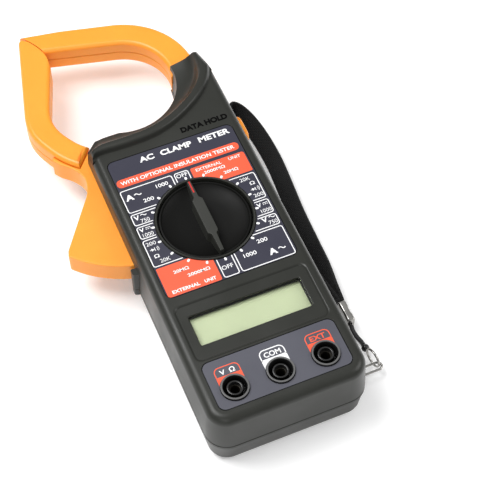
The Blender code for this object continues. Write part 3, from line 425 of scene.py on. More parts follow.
def math_node(tree: Tree, operation: str, first: object, second: object = 0.0) -> Socket:
    """Add a Math node fed by sockets or numbers and return its output."""
    return add_node(tree, "ShaderNodeMath", {0: first, 1: second}, operation=operation).outputs[0]


def weighted(tree: Tree, first: Socket, share: float, second: Socket, other: float) -> Socket:
    """Add two sockets, each with its own weight."""
    return math_node(tree, "ADD", math_node(tree, "MULTIPLY", first, share),
                     math_node(tree, "MULTIPLY", second, other))


def centred(tree: Tree, wave: Socket) -> Socket:
    """Move a wave from -1 to 1 into 0 to 1."""
    return math_node(tree, "ADD", math_node(tree, "MULTIPLY", wave, 0.5), 0.5)


class SharedEffects:
    """Shader groups that several finishes use, each built once."""

    def __init__(self) -> None:
        """Build the moulded grain, the cloudiness and the weave."""
        self.grain = self._grain()
        self.cloud = self._cloud()
        self.weave = self._weave()

    @staticmethod
    def _noise(tree: Tree, source: Node, scale: Socket, detail: float) -> Socket:
        """Add a noise texture that reads the group's vector."""
        return add_node(tree, "ShaderNodeTexNoise", {
            "Detail": detail, "Vector": source.outputs["Vector"], "Scale": scale}).outputs[0]

    def _grain(self) -> Tree:
        """Fine spark-eroded grain of moulded plastic: a height and a mask."""
        tree, source, target = node_group(
            "moulded_grain", {"Scale": 2600.0, "Depth": 1.0},
            {"Height": "NodeSocketFloat", "Mask": "NodeSocketFloat"})
        scale = source.outputs["Scale"]
        fine = self._noise(tree, source, scale, 3.0)
        broad = self._noise(tree, source, math_node(tree, "MULTIPLY", scale, 0.31), 2.0)
        mixed = weighted(tree, fine, 0.65, broad, 0.35)
        tree.links.new(math_node(tree, "MULTIPLY", mixed, source.outputs["Depth"]),
                       target.inputs["Height"])
        tree.links.new(mixed, target.inputs["Mask"])
        return tree

    def _cloud(self) -> Tree:
        """Slow change over a surface, for colour and for gloss."""
        tree, source, target = node_group(
            "slow_cloud", {"Scale": 45.0}, {"Mask": "NodeSocketFloat"})
        spread = add_node(tree, "ShaderNodeMapRange", {
            "Value": self._noise(tree, source, source.outputs["Scale"], 4.0),
            "From Min": 0.35, "From Max": 0.65})
        tree.links.new(spread.outputs[0], target.inputs["Mask"])
        return tree

    @staticmethod
    def _weave() -> Tree:
        """Plain weave from a UV map in metres: over-and-under threads."""
        tree, source, target = node_group(
            "plain_weave", {"Pitch": 0.0009},
            {"Height": "NodeSocketFloat", "Mask": "NodeSocketFloat"})
        split = add_node(tree, "ShaderNodeSeparateXYZ", {0: source.outputs["Vector"]})
        turns = math_node(tree, "DIVIDE", math.pi, source.outputs["Pitch"])
        along, across = (math_node(tree, "SINE", math_node(tree, "MULTIPLY", way, turns))
                         for way in split.outputs[:2])
        over = math_node(tree, "MULTIPLY", along, across)
        height = math_node(tree, "POWER", math_node(tree, "ABSOLUTE", over), 0.6)
        tree.links.new(height, target.inputs["Height"])
        tree.links.new(centred(tree, over), target.inputs["Mask"])
        return tree


class Pattern(Enum):
    """What a finish draws over its base colour."""

    GRAIN = "grain"
    WEAVE = "weave"
    BRUSHED = "brushed"
    LAYERS = "layers"


@dataclass(frozen=True)
class Finish:
    """One surface: its colour, how it varies, and how it shines."""

    name: str
    colour: tuple[float, float, float]
    roughness: float
    vary: float = 0.12
    gloss_vary: float = 0.06
    metallic: float = 0.0
    grain_scale: float = 2600.0
    bump: float = 0.12
    depth_mm: float = 0.02
    specular: float = 0.5
    subsurface: float = 0.0
    transmission: float = 0.0
    alpha: float = 1.0
    sheen: float = 0.0
    glow: float = 0.0
    pattern: Pattern = Pattern.GRAIN

    def build(self, effects: SharedEffects) -> bpy.types.Material:
        """Make the material.

        Args:
            effects: the shader groups that finishes share.

        Returns:
            The finished material.
        """
        made = bpy.data.materials.new(self.name)
        made.use_nodes = True
        tree = made.node_tree
        shader = tree.nodes["Principled BSDF"]
        for label, value in (("Metallic", self.metallic), ("Specular IOR Level", self.specular),
                             ("Subsurface Weight", self.subsurface), ("Subsurface Scale", 0.004),
                             ("Transmission Weight", self.transmission), ("Alpha", self.alpha),
                             ("Sheen Weight", self.sheen), ("Sheen Roughness", 0.4),
                             ("Emission Strength", self.glow)):
            shader.inputs[label].default_value = value
        place = tree.nodes.new("ShaderNodeTexCoord")
        vector = place.outputs["UV" if self.pattern is Pattern.WEAVE else "Object"]
        height, mask = self._pattern(tree, vector, effects)
        cloud = add_node(tree, "ShaderNodeGroup", {}, node_tree=effects.cloud)
        tree.links.new(place.outputs["Object"], cloud.inputs["Vector"])
        slow = cloud.outputs["Mask"]
        rough = add_node(tree, "ShaderNodeMapRange", {
            "Value": slow, "To Min": self.roughness - self.gloss_vary,
            "To Max": self.roughness + self.gloss_vary})
        bump = add_node(tree, "ShaderNodeBump", {
            "Strength": self.bump, "Distance": self.depth_mm * MM, "Height": height})
        blend = add_node(tree, "ShaderNodeMix", {0: weighted(tree, mask, 0.6, slow, 0.4)},
                         data_type="RGBA")
        for entry, share in ((6, 1 - self.vary), (7, 1 + self.vary)):
            blend.inputs[entry].default_value = (*(min(c * share, 1.0) for c in self.colour), 1.0)
        for label, value in (("Base Color", blend.outputs[2]), ("Roughness", rough.outputs[0]),
                             ("Normal", bump.outputs[0])):
            tree.links.new(value, shader.inputs[label])
        return made

    def _pattern(self, tree: Tree, vector: Socket, effects: SharedEffects
                 ) -> tuple[Socket, Socket]:
        """Add the pattern's nodes and return its height and its mask."""
        if self.pattern is Pattern.LAYERS:
            split = add_node(tree, "ShaderNodeSeparateXYZ", {0: vector})
            wave = math_node(tree, "SINE", math_node(tree, "MULTIPLY", split.outputs[2], 12000.0))
            mask = centred(tree, wave)
            return mask, mask
        if self.pattern is Pattern.BRUSHED:
            vector = add_node(tree, "ShaderNodeMapping", {
                "Vector": vector, "Scale": (1.0, 1.0, 0.06)}).outputs[0]
        woven = self.pattern is Pattern.WEAVE
        group = add_node(tree, "ShaderNodeGroup", {},
                         node_tree=effects.weave if woven else effects.grain)
        if not woven:
            group.inputs["Scale"].default_value = self.grain_scale
        tree.links.new(vector, group.inputs["Vector"])
        return group.outputs["Height"], group.outputs["Mask"]


CASE_GREY = Finish("case_grey", (0.021, 0.022, 0.0185), 0.36, vary=0.10, bump=0.08, specular=0.32)
# Painted shade: near-black stand-in for the dark look of the moulded DATA HOLD letters, which are
# the case's own plastic.
ENGRAVED_LETTER_SHADE = Finish("painted_letter_shade", (0.002, 0.002, 0.002), 0.6, specular=0.05)
JAW_ORANGE = Finish("jaw_orange", (0.97, 0.33, 0.028), 0.36, vary=0.05, gloss_vary=0.03, bump=0.06,
                    subsurface=0.12, specular=0.45)
DIAL_SLATE = Finish("dial_slate", (0.030, 0.030, 0.048), 0.45, vary=0.08, bump=0.05, specular=0.35)
SOCKET_SLATE = Finish("socket_slate", (0.070, 0.071, 0.090), 0.38, vary=0.08, bump=0.05)
PRINT_WHITE = Finish("print_white", (0.86, 0.86, 0.86), 0.45, vary=0.03, bump=0.03)
PRINT_CORAL = Finish("print_coral", (0.84, 0.098, 0.038), 0.45, vary=0.04, bump=0.03)
SLEEVE_DARK = Finish("socket_sleeve", (0.020, 0.017, 0.012), 0.5, metallic=0.5)
# Painted highlight: this grey stands for the light that the black socket's rolled rim catches.
RIM_HIGHLIGHT_GREY = Finish("socket_rim_painted_highlight", (0.10, 0.10, 0.10), 0.34, vary=0.10, bump=0.05)
RUBBER = Finish("rubber_strip", (0.70, 0.68, 0.58), 0.7)
FLOOR_WHITE = Finish("studio_floor", (0.86, 0.86, 0.86), 0.85, vary=0.01, bump=0.0, specular=0.1,
                     glow=0.22)
KNOB_BLACK = Finish("knob_black", (0.004, 0.004, 0.0036), 0.5, vary=0.15, bump=0.08,
                    specular=0.12)
GRIP_GREY = Finish("grip_grey", (0.026, 0.027, 0.023), 0.42, vary=0.10, bump=0.08, specular=0.4)
SOCKET_BLACK = Finish("socket_black", (0.010, 0.010, 0.010), 0.26, vary=0.15, bump=0.05)
POINTER_RED = Finish("pointer_red", (0.55, 0.02, 0.015), 0.4, vary=0.05)
LCD_GREEN = Finish("lcd_green", (0.51, 0.575, 0.37), 0.35, vary=0.02, bump=0.02)
LCD_CLEAR = Finish("lcd_clear", (0.93, 0.96, 0.90), 0.06, vary=0.01, gloss_vary=0.02, bump=0.0,
                   transmission=1.0, alpha=0.25)
FRAME_BLACK = Finish("frame_black", (0.015, 0.015, 0.015), 0.5)
STEEL = Finish("bright_steel", (0.42, 0.41, 0.39), 0.22, metallic=1.0, vary=0.08,
               pattern=Pattern.BRUSHED)
CORE_STEEL = Finish("core_steel", (0.30, 0.30, 0.31), 0.42, metallic=0.9, vary=0.35,
                    pattern=Pattern.LAYERS, bump=0.4)
BRASS = Finish("brass", (0.30, 0.22, 0.11), 0.35, metallic=1.0, vary=0.08)
COPPER = Finish("copper_wire", (0.66, 0.26, 0.12), 0.32, metallic=1.0, pattern=Pattern.LAYERS)
IVORY = Finish("ivory_nylon", (0.72, 0.68, 0.56), 0.5)
BOARD = Finish("board_green", (0.02, 0.13, 0.06), 0.4)
BATTERY = Finish("battery_can", (0.06, 0.07, 0.09), 0.35, metallic=0.6)
WEBBING = Finish("strap_webbing", (0.010, 0.010, 0.010), 0.8, vary=0.8, bump=0.9, depth_mm=0.25,
                 sheen=0.06, specular=0.3, pattern=Pattern.WEAVE)
CORD_BLACK = Finish("strap_cord", (0.016, 0.016, 0.017), 0.6, vary=0.4, grain_scale=1400.0,
                    bump=0.6, depth_mm=0.1, sheen=0.2)


# ------------------------------------------------------------------ fitting out

class Workshop:
    """Places finished pieces and keeps their materials."""

    def __init__(self) -> None:
        """Prepare the shared effects."""
        self.effects = SharedEffects()
        self.materials: dict[str, bpy.types.Material] = {}

    def material(self, finish: Finish) -> bpy.types.Material:
        """Return a finish's material, built on first use."""
        if finish.name not in self.materials:
            self.materials[finish.name] = finish.build(self.effects)
        return self.materials[finish.name]

    def place(self, name: str, mesh: Mesh, finish: Finish, body: Body, slot: str,
              replaces: Sequence[str] = (), crease: float = 32.0) -> Item:
        """Put a finished mesh in the scene.

        Args:
            name: the piece's name.
            mesh: its mesh in metres, in the meter's frame.
            finish: its surface.
            body: the body that it rides on.
            slot: the record's material slot; not used.
            replaces: nodes that it stands for.
            crease: edges sharper than this many degrees stay sharp.

        Returns:
            The new object.
        """
        mesh.name = name
        mesh.materials.append(self.material(finish))
        mesh.shade_smooth()
        mesh.set_sharp_from_angle(angle=math.radians(crease))
        item = link(bpy.data.objects.new(name, mesh))
        facing = item.modifiers.new("face_normals", "WEIGHTED_NORMAL")
        facing.keep_sharp = True
        facing.weight = 100
        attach(item, body.value)
        if replaces:
            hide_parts(*replaces)
        LOG.info("%s: %d faces on %s", name, len(mesh.polygons), body.value)
        return item

    def dress(self, nodes: Nodes, finish: Finish, *names: str) -> None:
        """Give nodes of the frame a finish."""
        for name in names:
            slots = nodes[name].material_slots
            for entry in slots:
                entry.material = self.material(finish)
            if not slots:
                nodes[name].data.materials.append(self.material(finish))
            LOG.info("%s: dressed in %s", name, finish.name)


class Repeater:
    """Geometry Nodes trees that lay copies of a small shape in a ring, a row or on points."""

    @staticmethod
    def _tree(name: str, numbers: dict[str, str],
              lay: Callable[[Tree, Node], dict[int | str, object]]) -> Tree:
        """Make a tree that copies an object onto points.

        Args:
            name: the tree's name.
            numbers: its own inputs with their socket types.
            lay: adds the nodes for the points and returns what feeds the copies.

        Returns:
            The tree.
        """
        tree = bpy.data.node_groups.new(name, "GeometryNodeTree")
        tree.interface.new_socket("Geometry", in_out="OUTPUT", socket_type="NodeSocketGeometry")
        for label, kind in {"Geometry": "NodeSocketGeometry", **numbers,
                            "Shape": "NodeSocketObject", "Finish": "NodeSocketMaterial"}.items():
            tree.interface.new_socket(label, in_out="INPUT", socket_type=kind)
        source, target = tree.nodes.new("NodeGroupInput"), tree.nodes.new("NodeGroupOutput")
        shape = add_node(tree, "GeometryNodeObjectInfo", {"Object": source.outputs["Shape"]})
        copies = add_node(tree, "GeometryNodeInstanceOnPoints", {
            "Instance": shape.outputs["Geometry"], **lay(tree, source)})
        real = add_node(tree, "GeometryNodeRealizeInstances", {0: copies.outputs[0]})
        paint = add_node(tree, "GeometryNodeSetMaterial", {
            "Geometry": real.outputs[0], "Material": source.outputs["Finish"]})
        tree.links.new(paint.outputs[0], target.inputs[0])
        return tree

    def ring(self) -> Tree:
        """Copies of an object around the origin, each turned to face outwards."""
        def lay(tree: Tree, source: Node) -> dict[int | str, object]:
            """Points of a circle and the turn that each one gives."""
            line = add_node(tree, "GeometryNodeMeshCircle", {
                "Vertices": source.outputs["Count"], "Radius": source.outputs["Radius"]})
            spot = add_node(tree, "GeometryNodeInputPosition", {})
            align = add_node(tree, "FunctionNodeAlignRotationToVector",
                             {"Vector": spot.outputs[0]}, axis="Y", pivot_axis="Z")
            return {"Points": line.outputs[0], "Rotation": align.outputs[0]}
        return self._tree("marks_in_a_ring",
                          {"Count": "NodeSocketInt", "Radius": "NodeSocketFloat"}, lay)

    def row(self) -> Tree:
        """Copies of an object in a straight row along Y."""
        def lay(tree: Tree, source: Node) -> dict[int | str, object]:
            """Points of a line."""
            step = add_node(tree, "ShaderNodeCombineXYZ", {"Y": source.outputs["Pitch"]})
            line = add_node(tree, "GeometryNodeMeshLine", {
                "Count": source.outputs["Count"], "Offset": step.outputs[0]})
            return {"Points": line.outputs[0]}
        return self._tree("ribs_in_a_row",
                          {"Count": "NodeSocketInt", "Pitch": "NodeSocketFloat"}, lay)

    def on_points(self) -> Tree:
        """Copies of an object on the points of the carrying mesh."""
        return self._tree("copies_on_points", {},
                          lambda tree, source: {"Points": source.outputs["Geometry"]})

    @staticmethod
    def run(tree: Tree, shape: Solid, values: dict[str, object],
            points: Sequence[Point] = ((0, 0, 0),)) -> Mesh:
        """Run a tree once and return what it makes as a plain mesh in metres.

        Args:
            tree: the tree to run.
            shape: the solid to copy, in millimetres about the origin.
            values: the tree's other inputs by name, lengths in millimetres.
            points: the carrying mesh's points in millimetres.

        Returns:
            The realised mesh.
        """
        mesh = bpy.data.meshes.new("carrier")
        mesh.from_pydata([tuple(p) for p in points], [], [])
        carrier = link(bpy.data.objects.new("carrier", mesh))
        step = carrier.modifiers.new("copies", "NODES")
        step.node_group = tree
        for socket in tree.interface.items_tree:
            if socket.in_out != "INPUT" or socket.name == "Geometry":
                continue
            step[socket.identifier] = shape.item if socket.name == "Shape" else values[socket.name]
        made = evaluated_mesh(carrier)
        bpy.data.objects.remove(carrier)
        bpy.data.meshes.remove(mesh)
        shape.drop()
        return in_metres(made)


# ------------------------------------------------------------------ case

@dataclass
class Case:
    """Front and rear shell, battery door and the screws in the back."""

    half_width: float = 34.3
    bottom_y: float = -62.0
    split_z: float = 14.5
    gap: float = 0.3
    window: tuple[float, float] = (-7.8, 114.2)
    window_r: float = 25.0
    crest_r: float = 37.2
    crest: tuple[tuple[float, float], ...] = (
        (20.0, 40.0), (-14.0, 39.6), (-34.0, 37.4), (-52.0, 35.4), (-72.0, 35.0), (-96.0, 36.0),
        (-111.0, 38.4), (-120.0, 41.2), (-124.5, 45.0), (-127.0, 52.0))
    front_edge: float = 3.8
    rear_edge: float = 3.6
    wall: float = 3.0
    seat_depth: float = 0.5
    door_x: float = 15.5
    door_y: tuple[float, float] = (-59.0, -3.4)
    screws: tuple[tuple[float, float], ...] = ((-29.0, -34.0), (29.0, -34.0), (0.5, 63.0),
                                               (28.6, 60.0))

    def _angle(self, start: Point, end: Point, distance: float, side: int) -> float:
        """Angle at which a side of the case, moved inwards, meets the window's arc."""
        along = (Vector(end) - Vector(start)).normalized()
        normal = Vector((-along.y, along.x))
        offset = (Vector(start) - Vector(self.window)).dot(normal) + distance
        reach = math.sqrt((self.window_r + distance) ** 2 - offset ** 2)
        spot = normal * offset + along * reach * side
        return math.degrees(math.atan2(spot.y, spot.x))

    def plan(self, distance: float = 0.0, steps: int = 10) -> Outline:
        """Plan of the case, moved inwards.

        Args:
            distance: how far inwards.
            steps: stretches in each round corner.

        Returns:
            The outline: straight flanks, a horn and the window's arc.
        """
        w = self.half_width
        horn, shoulder = (31.4, 116.6), (-28.5, 89.5)
        horn_end = polar(self.window, self.window_r, 8)
        shoulder_start = polar(self.window, self.window_r, -110)
        frame = [(-w, self.bottom_y, 9.5), (w, self.bottom_y, 9.5), (w, 104.0, 6.0),
                 (*horn, 3.0), (*horn_end, 0), (*shoulder_start, 0), (*shoulder, 1.6),
                 (-w, 83.0, 1.6)]
        outline = rounded(inset(frame, distance), steps)
        first = self._angle(horn, horn_end, distance, -1)
        last = self._angle(shoulder_start, shoulder, distance, 1)
        plain = 4 * (steps + 1)
        window = arc(self.window, self.window_r + distance, first, last, 4 * steps + 2)
        return outline[:plain] + window + outline[plain + 2:]

    def _slot(self) -> Solid:
        """Opening in the left flank that the trigger moves in."""
        flank, (low, high), inner = -60, (23.6, 100), PIVOT[0] - 3
        plan = [(flank, low), (inner, low), (inner, 84), (-24, high), (flank, high)]
        return Solid.prism(plan, 13.2, 24.5)

    def _jaw_room(self, low: float, high: float) -> Solid:
        """Space that the fixed jaw's root takes in the horn."""
        centre = (-5.5, 119.7)
        plan = arc(centre, 20.3, 30, -14.8, 16) + arc(centre, 36.2, -14.8, 30, 16)
        return Solid.prism(plan, low, high)

    def _along_crest(self, place: Vector) -> Vector:
        """Move a point of the round guard so that its crest follows the ridge's own path."""
        away = Vector((place.x - self.window[0], place.y - self.window[1]))
        radius = away.length
        if radius < self.window_r:
            return place
        angle = math.degrees(math.atan2(away.y, away.x))
        angle = angle - 360 if angle > 100 else angle
        path = smooth_route(self.crest, 8)
        reach = path[0][1] if angle > path[0][0] else path[-1][1]
        for (a, r), (b, q) in zip(path, path[1:]):
            if b <= angle <= a and a > b:
                reach = r + (q - r) * (a - angle) / (a - b)
        shift = reach - self.crest_r
        share = min((radius - self.window_r) / (self.crest_r - 2.9 - self.window_r), 1.0)
        moved = away.normalized() * (radius + shift * share)
        return Vector((self.window[0] + moved.x, self.window[1] + moved.y, place.z))

    def _guard(self) -> Solid:
        """Ridge that keeps the hand away from the jaws."""
        profile = [(22.0, 26.0), (39.6, 26.0), (39.6, 33.4), (39.0, 33.75), (38.6, 34.1),
                   (38.3, 34.6), (38.05, 35.3), (37.75, 35.95), (37.3, 36.4), (36.7, 36.6),
                   (35.2, 36.6), (34.4, 36.4), (22.0, 36.3)]
        trim = Solid.loft([(self.plan(1.0, 7), 20), (self.plan(1.05, 7), 32.4),
                           (self.plan(1.5, 7), 34.6), (self.plan(2.1, 7), 35.7),
                           (self.plan(3.2, 7), 36.5), (self.plan(4.4, 7), 36.9)])
        return Solid.turned(self.window, profile, 160).warp(self._along_crest).meet(trim)

    def _guard_slope(self) -> Solid:
        """What the hollow between the ridge and the window takes away."""
        profile = [(0, 27.6), (22.4, 27.6), (25.6, 28.7), (27.6, 29.6), (29.4, 30.5), (31.2, 31.8),
                   (32.2, 33.0), (32.9, 34.3), (33.5, 35.5), (34.0, 36.1), (34.4, 36.5),
                   (34.4, 45), (0, 45)]
        return Solid.turned(self.window, profile, 180).warp(self._along_crest)

    def _seat(self, corners: Sequence[Point], depth: float, slope: float) -> Solid:
        """Recess in the front face with sloping sides."""
        floor = CASE_HEIGHT - depth
        return Solid.loft([(plan_at(corners, slope * 0.5), floor),
                           (plan_at(corners, slope * 0.2), floor + depth * 0.45),
                           (plan_at(corners, -slope * 0.1), floor + depth * 0.85),
                           (plan_at(corners, -slope * 0.5), CASE_HEIGHT + 0.02),
                           (plan_at(corners, -slope * 0.5), 45)])

    @staticmethod
    def _lip(low: float, high: float) -> Solid:
        """Stop at the end of the trigger's slot."""
        return Solid.prism(rounded([(-36.1, 20.4, 0.9), (-33.6, 19.6, 0.1), (-33.6, 23.4, 0.1),
                                    (-36.1, 23.4, 0.5)], 6), low, high)

    def _moat(self, corners: Sequence[Point]) -> Solid:
        """Narrow groove round a label's seat."""
        island = Solid.prism(plan_at(corners, 0.5), 20, 50)
        return Solid.prism(plan_at(corners, 0), CASE_HEIGHT - 1.1, 45).cut(island)

    def front(self) -> Solid:
        """Front shell with every recess, hole and the guard."""
        base = self.split_z + self.gap / 2
        rings = [(self.plan(0.25), base), (self.plan(0), base + 0.25)]
        rings += [(self.plan(0.9 + shift), CASE_HEIGHT - drop)
                  for shift, drop in quarter(self.front_edge, 9)]
        shell = Solid.loft(rings)
        shell.join(self._guard()).cut(self._guard_slope())
        cavity = Solid.prism(self.plan(self.wall), 10, 30.2)
        mass = Solid.turned(self.window, [(0, 25), (27, 25), (34, 27.5), (38, 30.4), (38, 45),
                                          (0, 45)], 48)
        shell.cut(cavity.cut(mass), self._jaw_room(10, 26.1), self._slot())
        ring = Solid.turned(DIAL, [(18.6, 28.9), (21.0, 28.9), (21.0, 34.1), (20.9, 34.45),
                                        (20.65, 34.65), (20.3, 34.65), (20.05, 34.45),
                                        (19.95, 34.1), (19.95, 29.6), (18.6, 29.6)], 128)
        seat = self._seat(slab(28.75, (-1.05, 72.25), 3.0), self.seat_depth, 0.25)
        shell.cut(seat, Solid.prism(circle(DIAL, 20.6, 128), 20, 45)).join(ring)
        opening = slab(24.2, (-25.3, -11.1), 0.9)
        shell.cut(self._seat(slab(28.25, (-55.75, -33.55), 3.2), self.seat_depth, 0.25),
                  self._moat(slab(28.85, (-1.15, 72.35), 3.1)),
                  self._moat(slab(28.35, (-55.85, -33.45), 3.3)),
                  self._seat(slab(28.5, (-32.3, -5.6), 3.2), 0.75, 1.1),
                  Solid.loft([(plan_at(opening, 0), 20), (plan_at(opening, 0), 32.95),
                              (plan_at(opening, -0.12), 33.15), (plan_at(opening, -0.35), 33.27),
                              (plan_at(opening, -0.35), 45)]),
                  Solid.prism(plan_at(slab(25.2, (-26.5, -10.1), 1), 0), 28, 31.8))
        for x in SOCKET_X:
            shell.cut(Solid.prism(circle((x, SOCKET_Y), 6.0, 64), 20, 45))
        hole = rounded(box((68.7, 82.9), (18.6, 25.0), 2.9), 10)
        shell.cut(Solid.swept([[Vector((x, y, z)) for y, z in hole] for x in (28.0, 40.0)]))
        return shell.join(self._lip(base, 25.6))

    def rear(self) -> Solid:
        """Rear shell with the battery bay, the screw wells and the strap lug."""
        base = self.split_z - self.gap / 2
        rings = [(self.plan(0.25), base), (self.plan(0), base - 0.25), (self.plan(0), base - 1.5),
                 (self.plan(0.35), base - 1.6)]
        rings += [(self.plan(1.4 + shift), drop) for shift, drop in quarter(self.rear_edge, 8)]
        shell = Solid.loft(rings[::-1])
        y, z = -46.9, 4.6
        foot = box((32.0, 38.4), (y - 1.1, y + 1.1), 0.3)
        lug = Solid.loft([(plan_at(foot, shift, 3), height)
                          for shift, height in ((0.3, 1.6), (0, 1.9), (0, 7.5), (0.3, 7.8))])
        eye = Solid.turned((0, 0), [(0, -4), (1.3, -4), (1.3, 4), (0, 4)], 32)
        eye.turn(Matrix.Translation((36.3, y, z)) @ Matrix.Rotation(math.pi / 2, 4, "X"))
        shell.join(lug.cut(eye)).cut(Solid.prism(self.plan(self.wall), 2.2, 30))
        bay = Solid.block((-15.1, 15.1), (-61, -2.2), (1.0, 12)).meet(
            Solid.prism(self.plan(2.3), 0, 40))
        shell.join(bay).cut(Solid.block((-13.75, 13.75), (-58.9, -3.8), (2.2, 30)),
                            Solid.block((-15.8, 15.8), (-59.3, -3.1), (-5, 2.3)),
                            Solid.block((-13.75, 13.75), (-58.9, -8.0), (-5, 5)),
                            self._slot(), self._jaw_room(11.9, 30))
        for spot in self.screws:
            shell.join(Solid.prism(circle(spot, 4.2, 40), 1.0, 14.2).meet(
                Solid.prism(self.plan(2.3), 0, 40)))
            shell.cut(Solid.turned(spot, [(0, -1), (3.3, -1), (2.9, 0.4), (2.9, 3.4), (1.7, 3.4),
                                          (1.7, 20), (0, 20)], 48))
        shell.cut(Solid.prism(circle((0, -5.6), 1.5, 24), -5, 30))
        return shell.join(self._lip(10.4, base))

    def screw_body(self, head_r: float, head_h: float, shank_r: float, length: float) -> Solid:
        """Pan-head screw about the origin, head down, with a cross recess."""
        body = Solid.turned((0, 0), [
            (0, 0), (head_r * 0.55, 0.03), (head_r * 0.85, 0.3), (head_r, 0.8), (head_r, head_h),
            (shank_r, head_h), (shank_r, length - 0.8), (0.3, length), (0, length)], 40)
        reach = head_r * 0.6
        for x, y in ((reach, 0.3), (0.3, reach)):
            wide = [(-x, -y), (x, -y), (x, y), (-x, y)]
            deep = [(a * 0.55, b * 0.9) for a, b in wide]
            body.cut(Solid.loft([(wide, -1), (wide, 0.1), (deep, 1.1 - y * 0.05)]))
        return body

    def door(self) -> Solid:
        """Battery door with its screw seat and a finger dent."""
        (low, high), x = self.door_y, self.door_x
        corners = [(-x, low, 0.6), (x, low, 0.6), (x, high, 1.0), (-x, high, 1.0)]
        door = Solid.loft([(plan_at(corners, 0.25, 4), 0.0), (plan_at(corners, 0, 4), 0.25),
                           (plan_at(corners, 0, 4), 2.0)])
        return door.cut(Solid.turned((0, -5.6), [(0, -1), (2.9, -1), (2.5, 0.3), (2.5, 1.55),
                                                 (1.5, 1.55), (1.5, 5), (0, 5)], 40),
                        Solid.pillow(slab(8.2, (-53.2, -40.4), 2), (-1, 0.7), 0.4))

    def build(self, shop: Workshop, repeat: Repeater) -> None:
        """Make and dress the case."""
        for side, shell in (("front", self.front), ("rear", self.rear)):
            shop.place(f"{side}_shell", shell().mesh(), CASE_GREY, Body.CASE, "case",
                       [f"{side}_case"], 28)
        shop.place("battery_cover", self.door().mesh(), CASE_GREY, Body.CASE, "case",
                   ["battery_door"])
        rib = Solid.pillow(slab(7.4, (-0.55, 0.55), 0.5), (-0.68, 0.0), 0.2)
        rib.turn(Matrix.Translation((0, -51.6, 0.05)) @ Matrix.Rotation(math.pi, 4, "Y"))
        shop.place("cover_grip_ribs", repeat.run(repeat.row(), rib, {
            "Count": 5, "Pitch": 2.4,
            "Finish": shop.material(CASE_GREY)}), CASE_GREY, Body.CASE, "case")
        screws = repeat.run(repeat.on_points(), self.screw_body(2.6, 2.1, 1.3, 23.6),
                            {"Finish": shop.material(STEEL)},
                            [(x, y, 0.9) for x, y in self.screws])
        shop.place("case_screws", screws, STEEL, Body.CASE, "steel",
                   [f"case_screw_{k}" for k in range(1, 5)])
        screw = self.screw_body(2.2, 1.2, 1.1, 7.7).turn(Matrix.Translation((0, -5.6, 0.3)))
        shop.place("cover_screw", screw.mesh(), STEEL, Body.CASE, "steel", ["battery_door_screw"])
        # DATA HOLD letters are moulded in the case's plastic; their near-black colour is painted
        # shade for the dark look of their relief.
        letters = Lettering.words("DATA HOLD", (18.2, 76.6), 2.9, 21.5, 33.98, 0.045, 0.16)
        shop.place("hold_lettering", Lettering.press([letters]), ENGRAVED_LETTER_SHADE, Body.CASE, "case")


# ------------------------------------------------------------------ lettering

class Lettering:
    """Printed words, signs and outlines as thin solids."""

    @staticmethod
    def words(text: str, centre: Point, cap: float, width: float, low: float,
              bold: float = 0.0, thick: float = FILM) -> Mesh:
        """Set a line of text.

        Args:
            text: what it says.
            centre: x and y of its middle.
            cap: height of its capitals.
            width: its overall width.
            low: z of its underside.
            bold: how far the strokes are thickened, as a share of the height.
            thick: how far it stands up.

        Returns:
            A mesh in millimetres.
        """
        curve = bpy.data.curves.new("words", "FONT")
        curve.body = text
        curve.size = 1.0
        curve.extrude = 0.5
        curve.offset = bold
        curve.resolution_u = 4
        item = link(bpy.data.objects.new("words", curve))
        made = evaluated_mesh(item)
        bpy.data.objects.remove(item)
        bpy.data.curves.remove(curve)
        ends = [(min(v.co[k] for v in made.vertices), max(v.co[k] for v in made.vertices))
                for k in (0, 1)]
        (left, right), (foot, top) = ends
        made.transform(Matrix.Translation((centre[0], centre[1], low + thick / 2))
                       @ Matrix.Diagonal((width / (right - left), cap / (top - foot), thick, 1))
                       @ Matrix.Translation((-(left + right) / 2, -(foot + top) / 2, 0)))
        return made

    @staticmethod
    def plate(outline: Outline, low: float) -> Mesh:
        """Make a thin solid from an outline, in millimetres."""
        shape = bmesh.new()
        loops = [[shape.verts.new((x, y, z)) for x, y in outline] for z in (low, low + FILM)]
        Solid.bridge(shape, loops)
        bmesh.ops.recalc_face_normals(shape, faces=shape.faces)
        return freed_mesh(shape, "plate")

    @staticmethod
    def stroke(route: Outline, width: float, low: float, closed: bool = False) -> Mesh:
        """Draw a line of even width along a route, in millimetres."""
        left, right = [], []
        count = len(route)
        for i, point in enumerate(route):
            before = Vector(route[i - 1 if closed else max(i - 1, 0)])
            after = Vector(route[(i + 1) % count if closed else min(i + 1, count - 1)])
            here = Vector(point)
            first = (here - before).normalized() if (here - before).length else None
            second = (after - here).normalized() if (after - here).length else first
            first = first or second
            along = (first + second).normalized()
            side = Vector((-along.y, along.x))
            reach = width / 2 / max(side.dot(Vector((-first.y, first.x))), 0.5)
            left.append(tuple(here + side * reach))
            right.append(tuple(here - side * reach))
        if not closed:
            return Lettering.plate(right + left[::-1], low)
        shape = bmesh.new()
        top = low + FILM
        rings = [[shape.verts.new((x, y, z)) for x, y in ring]
                 for ring, z in ((left, low), (right, low), (right, top), (left, top))]
        skin(shape, rings + rings[:1])
        bmesh.ops.recalc_face_normals(shape, faces=shape.faces)
        return freed_mesh(shape, "stroke")

    @staticmethod
    def press(meshes: Iterable[Mesh]) -> Mesh:
        """Join thin solids into one mesh in metres and weld their seams."""
        shape = bmesh.new()
        for mesh in meshes:
            shape.from_mesh(mesh)
            bpy.data.meshes.remove(mesh)
        bmesh.ops.remove_doubles(shape, verts=shape.verts, dist=0.0004)
        bmesh.ops.scale(shape, vec=(MM, MM, MM), verts=shape.verts)
        return freed_mesh(shape, "print")


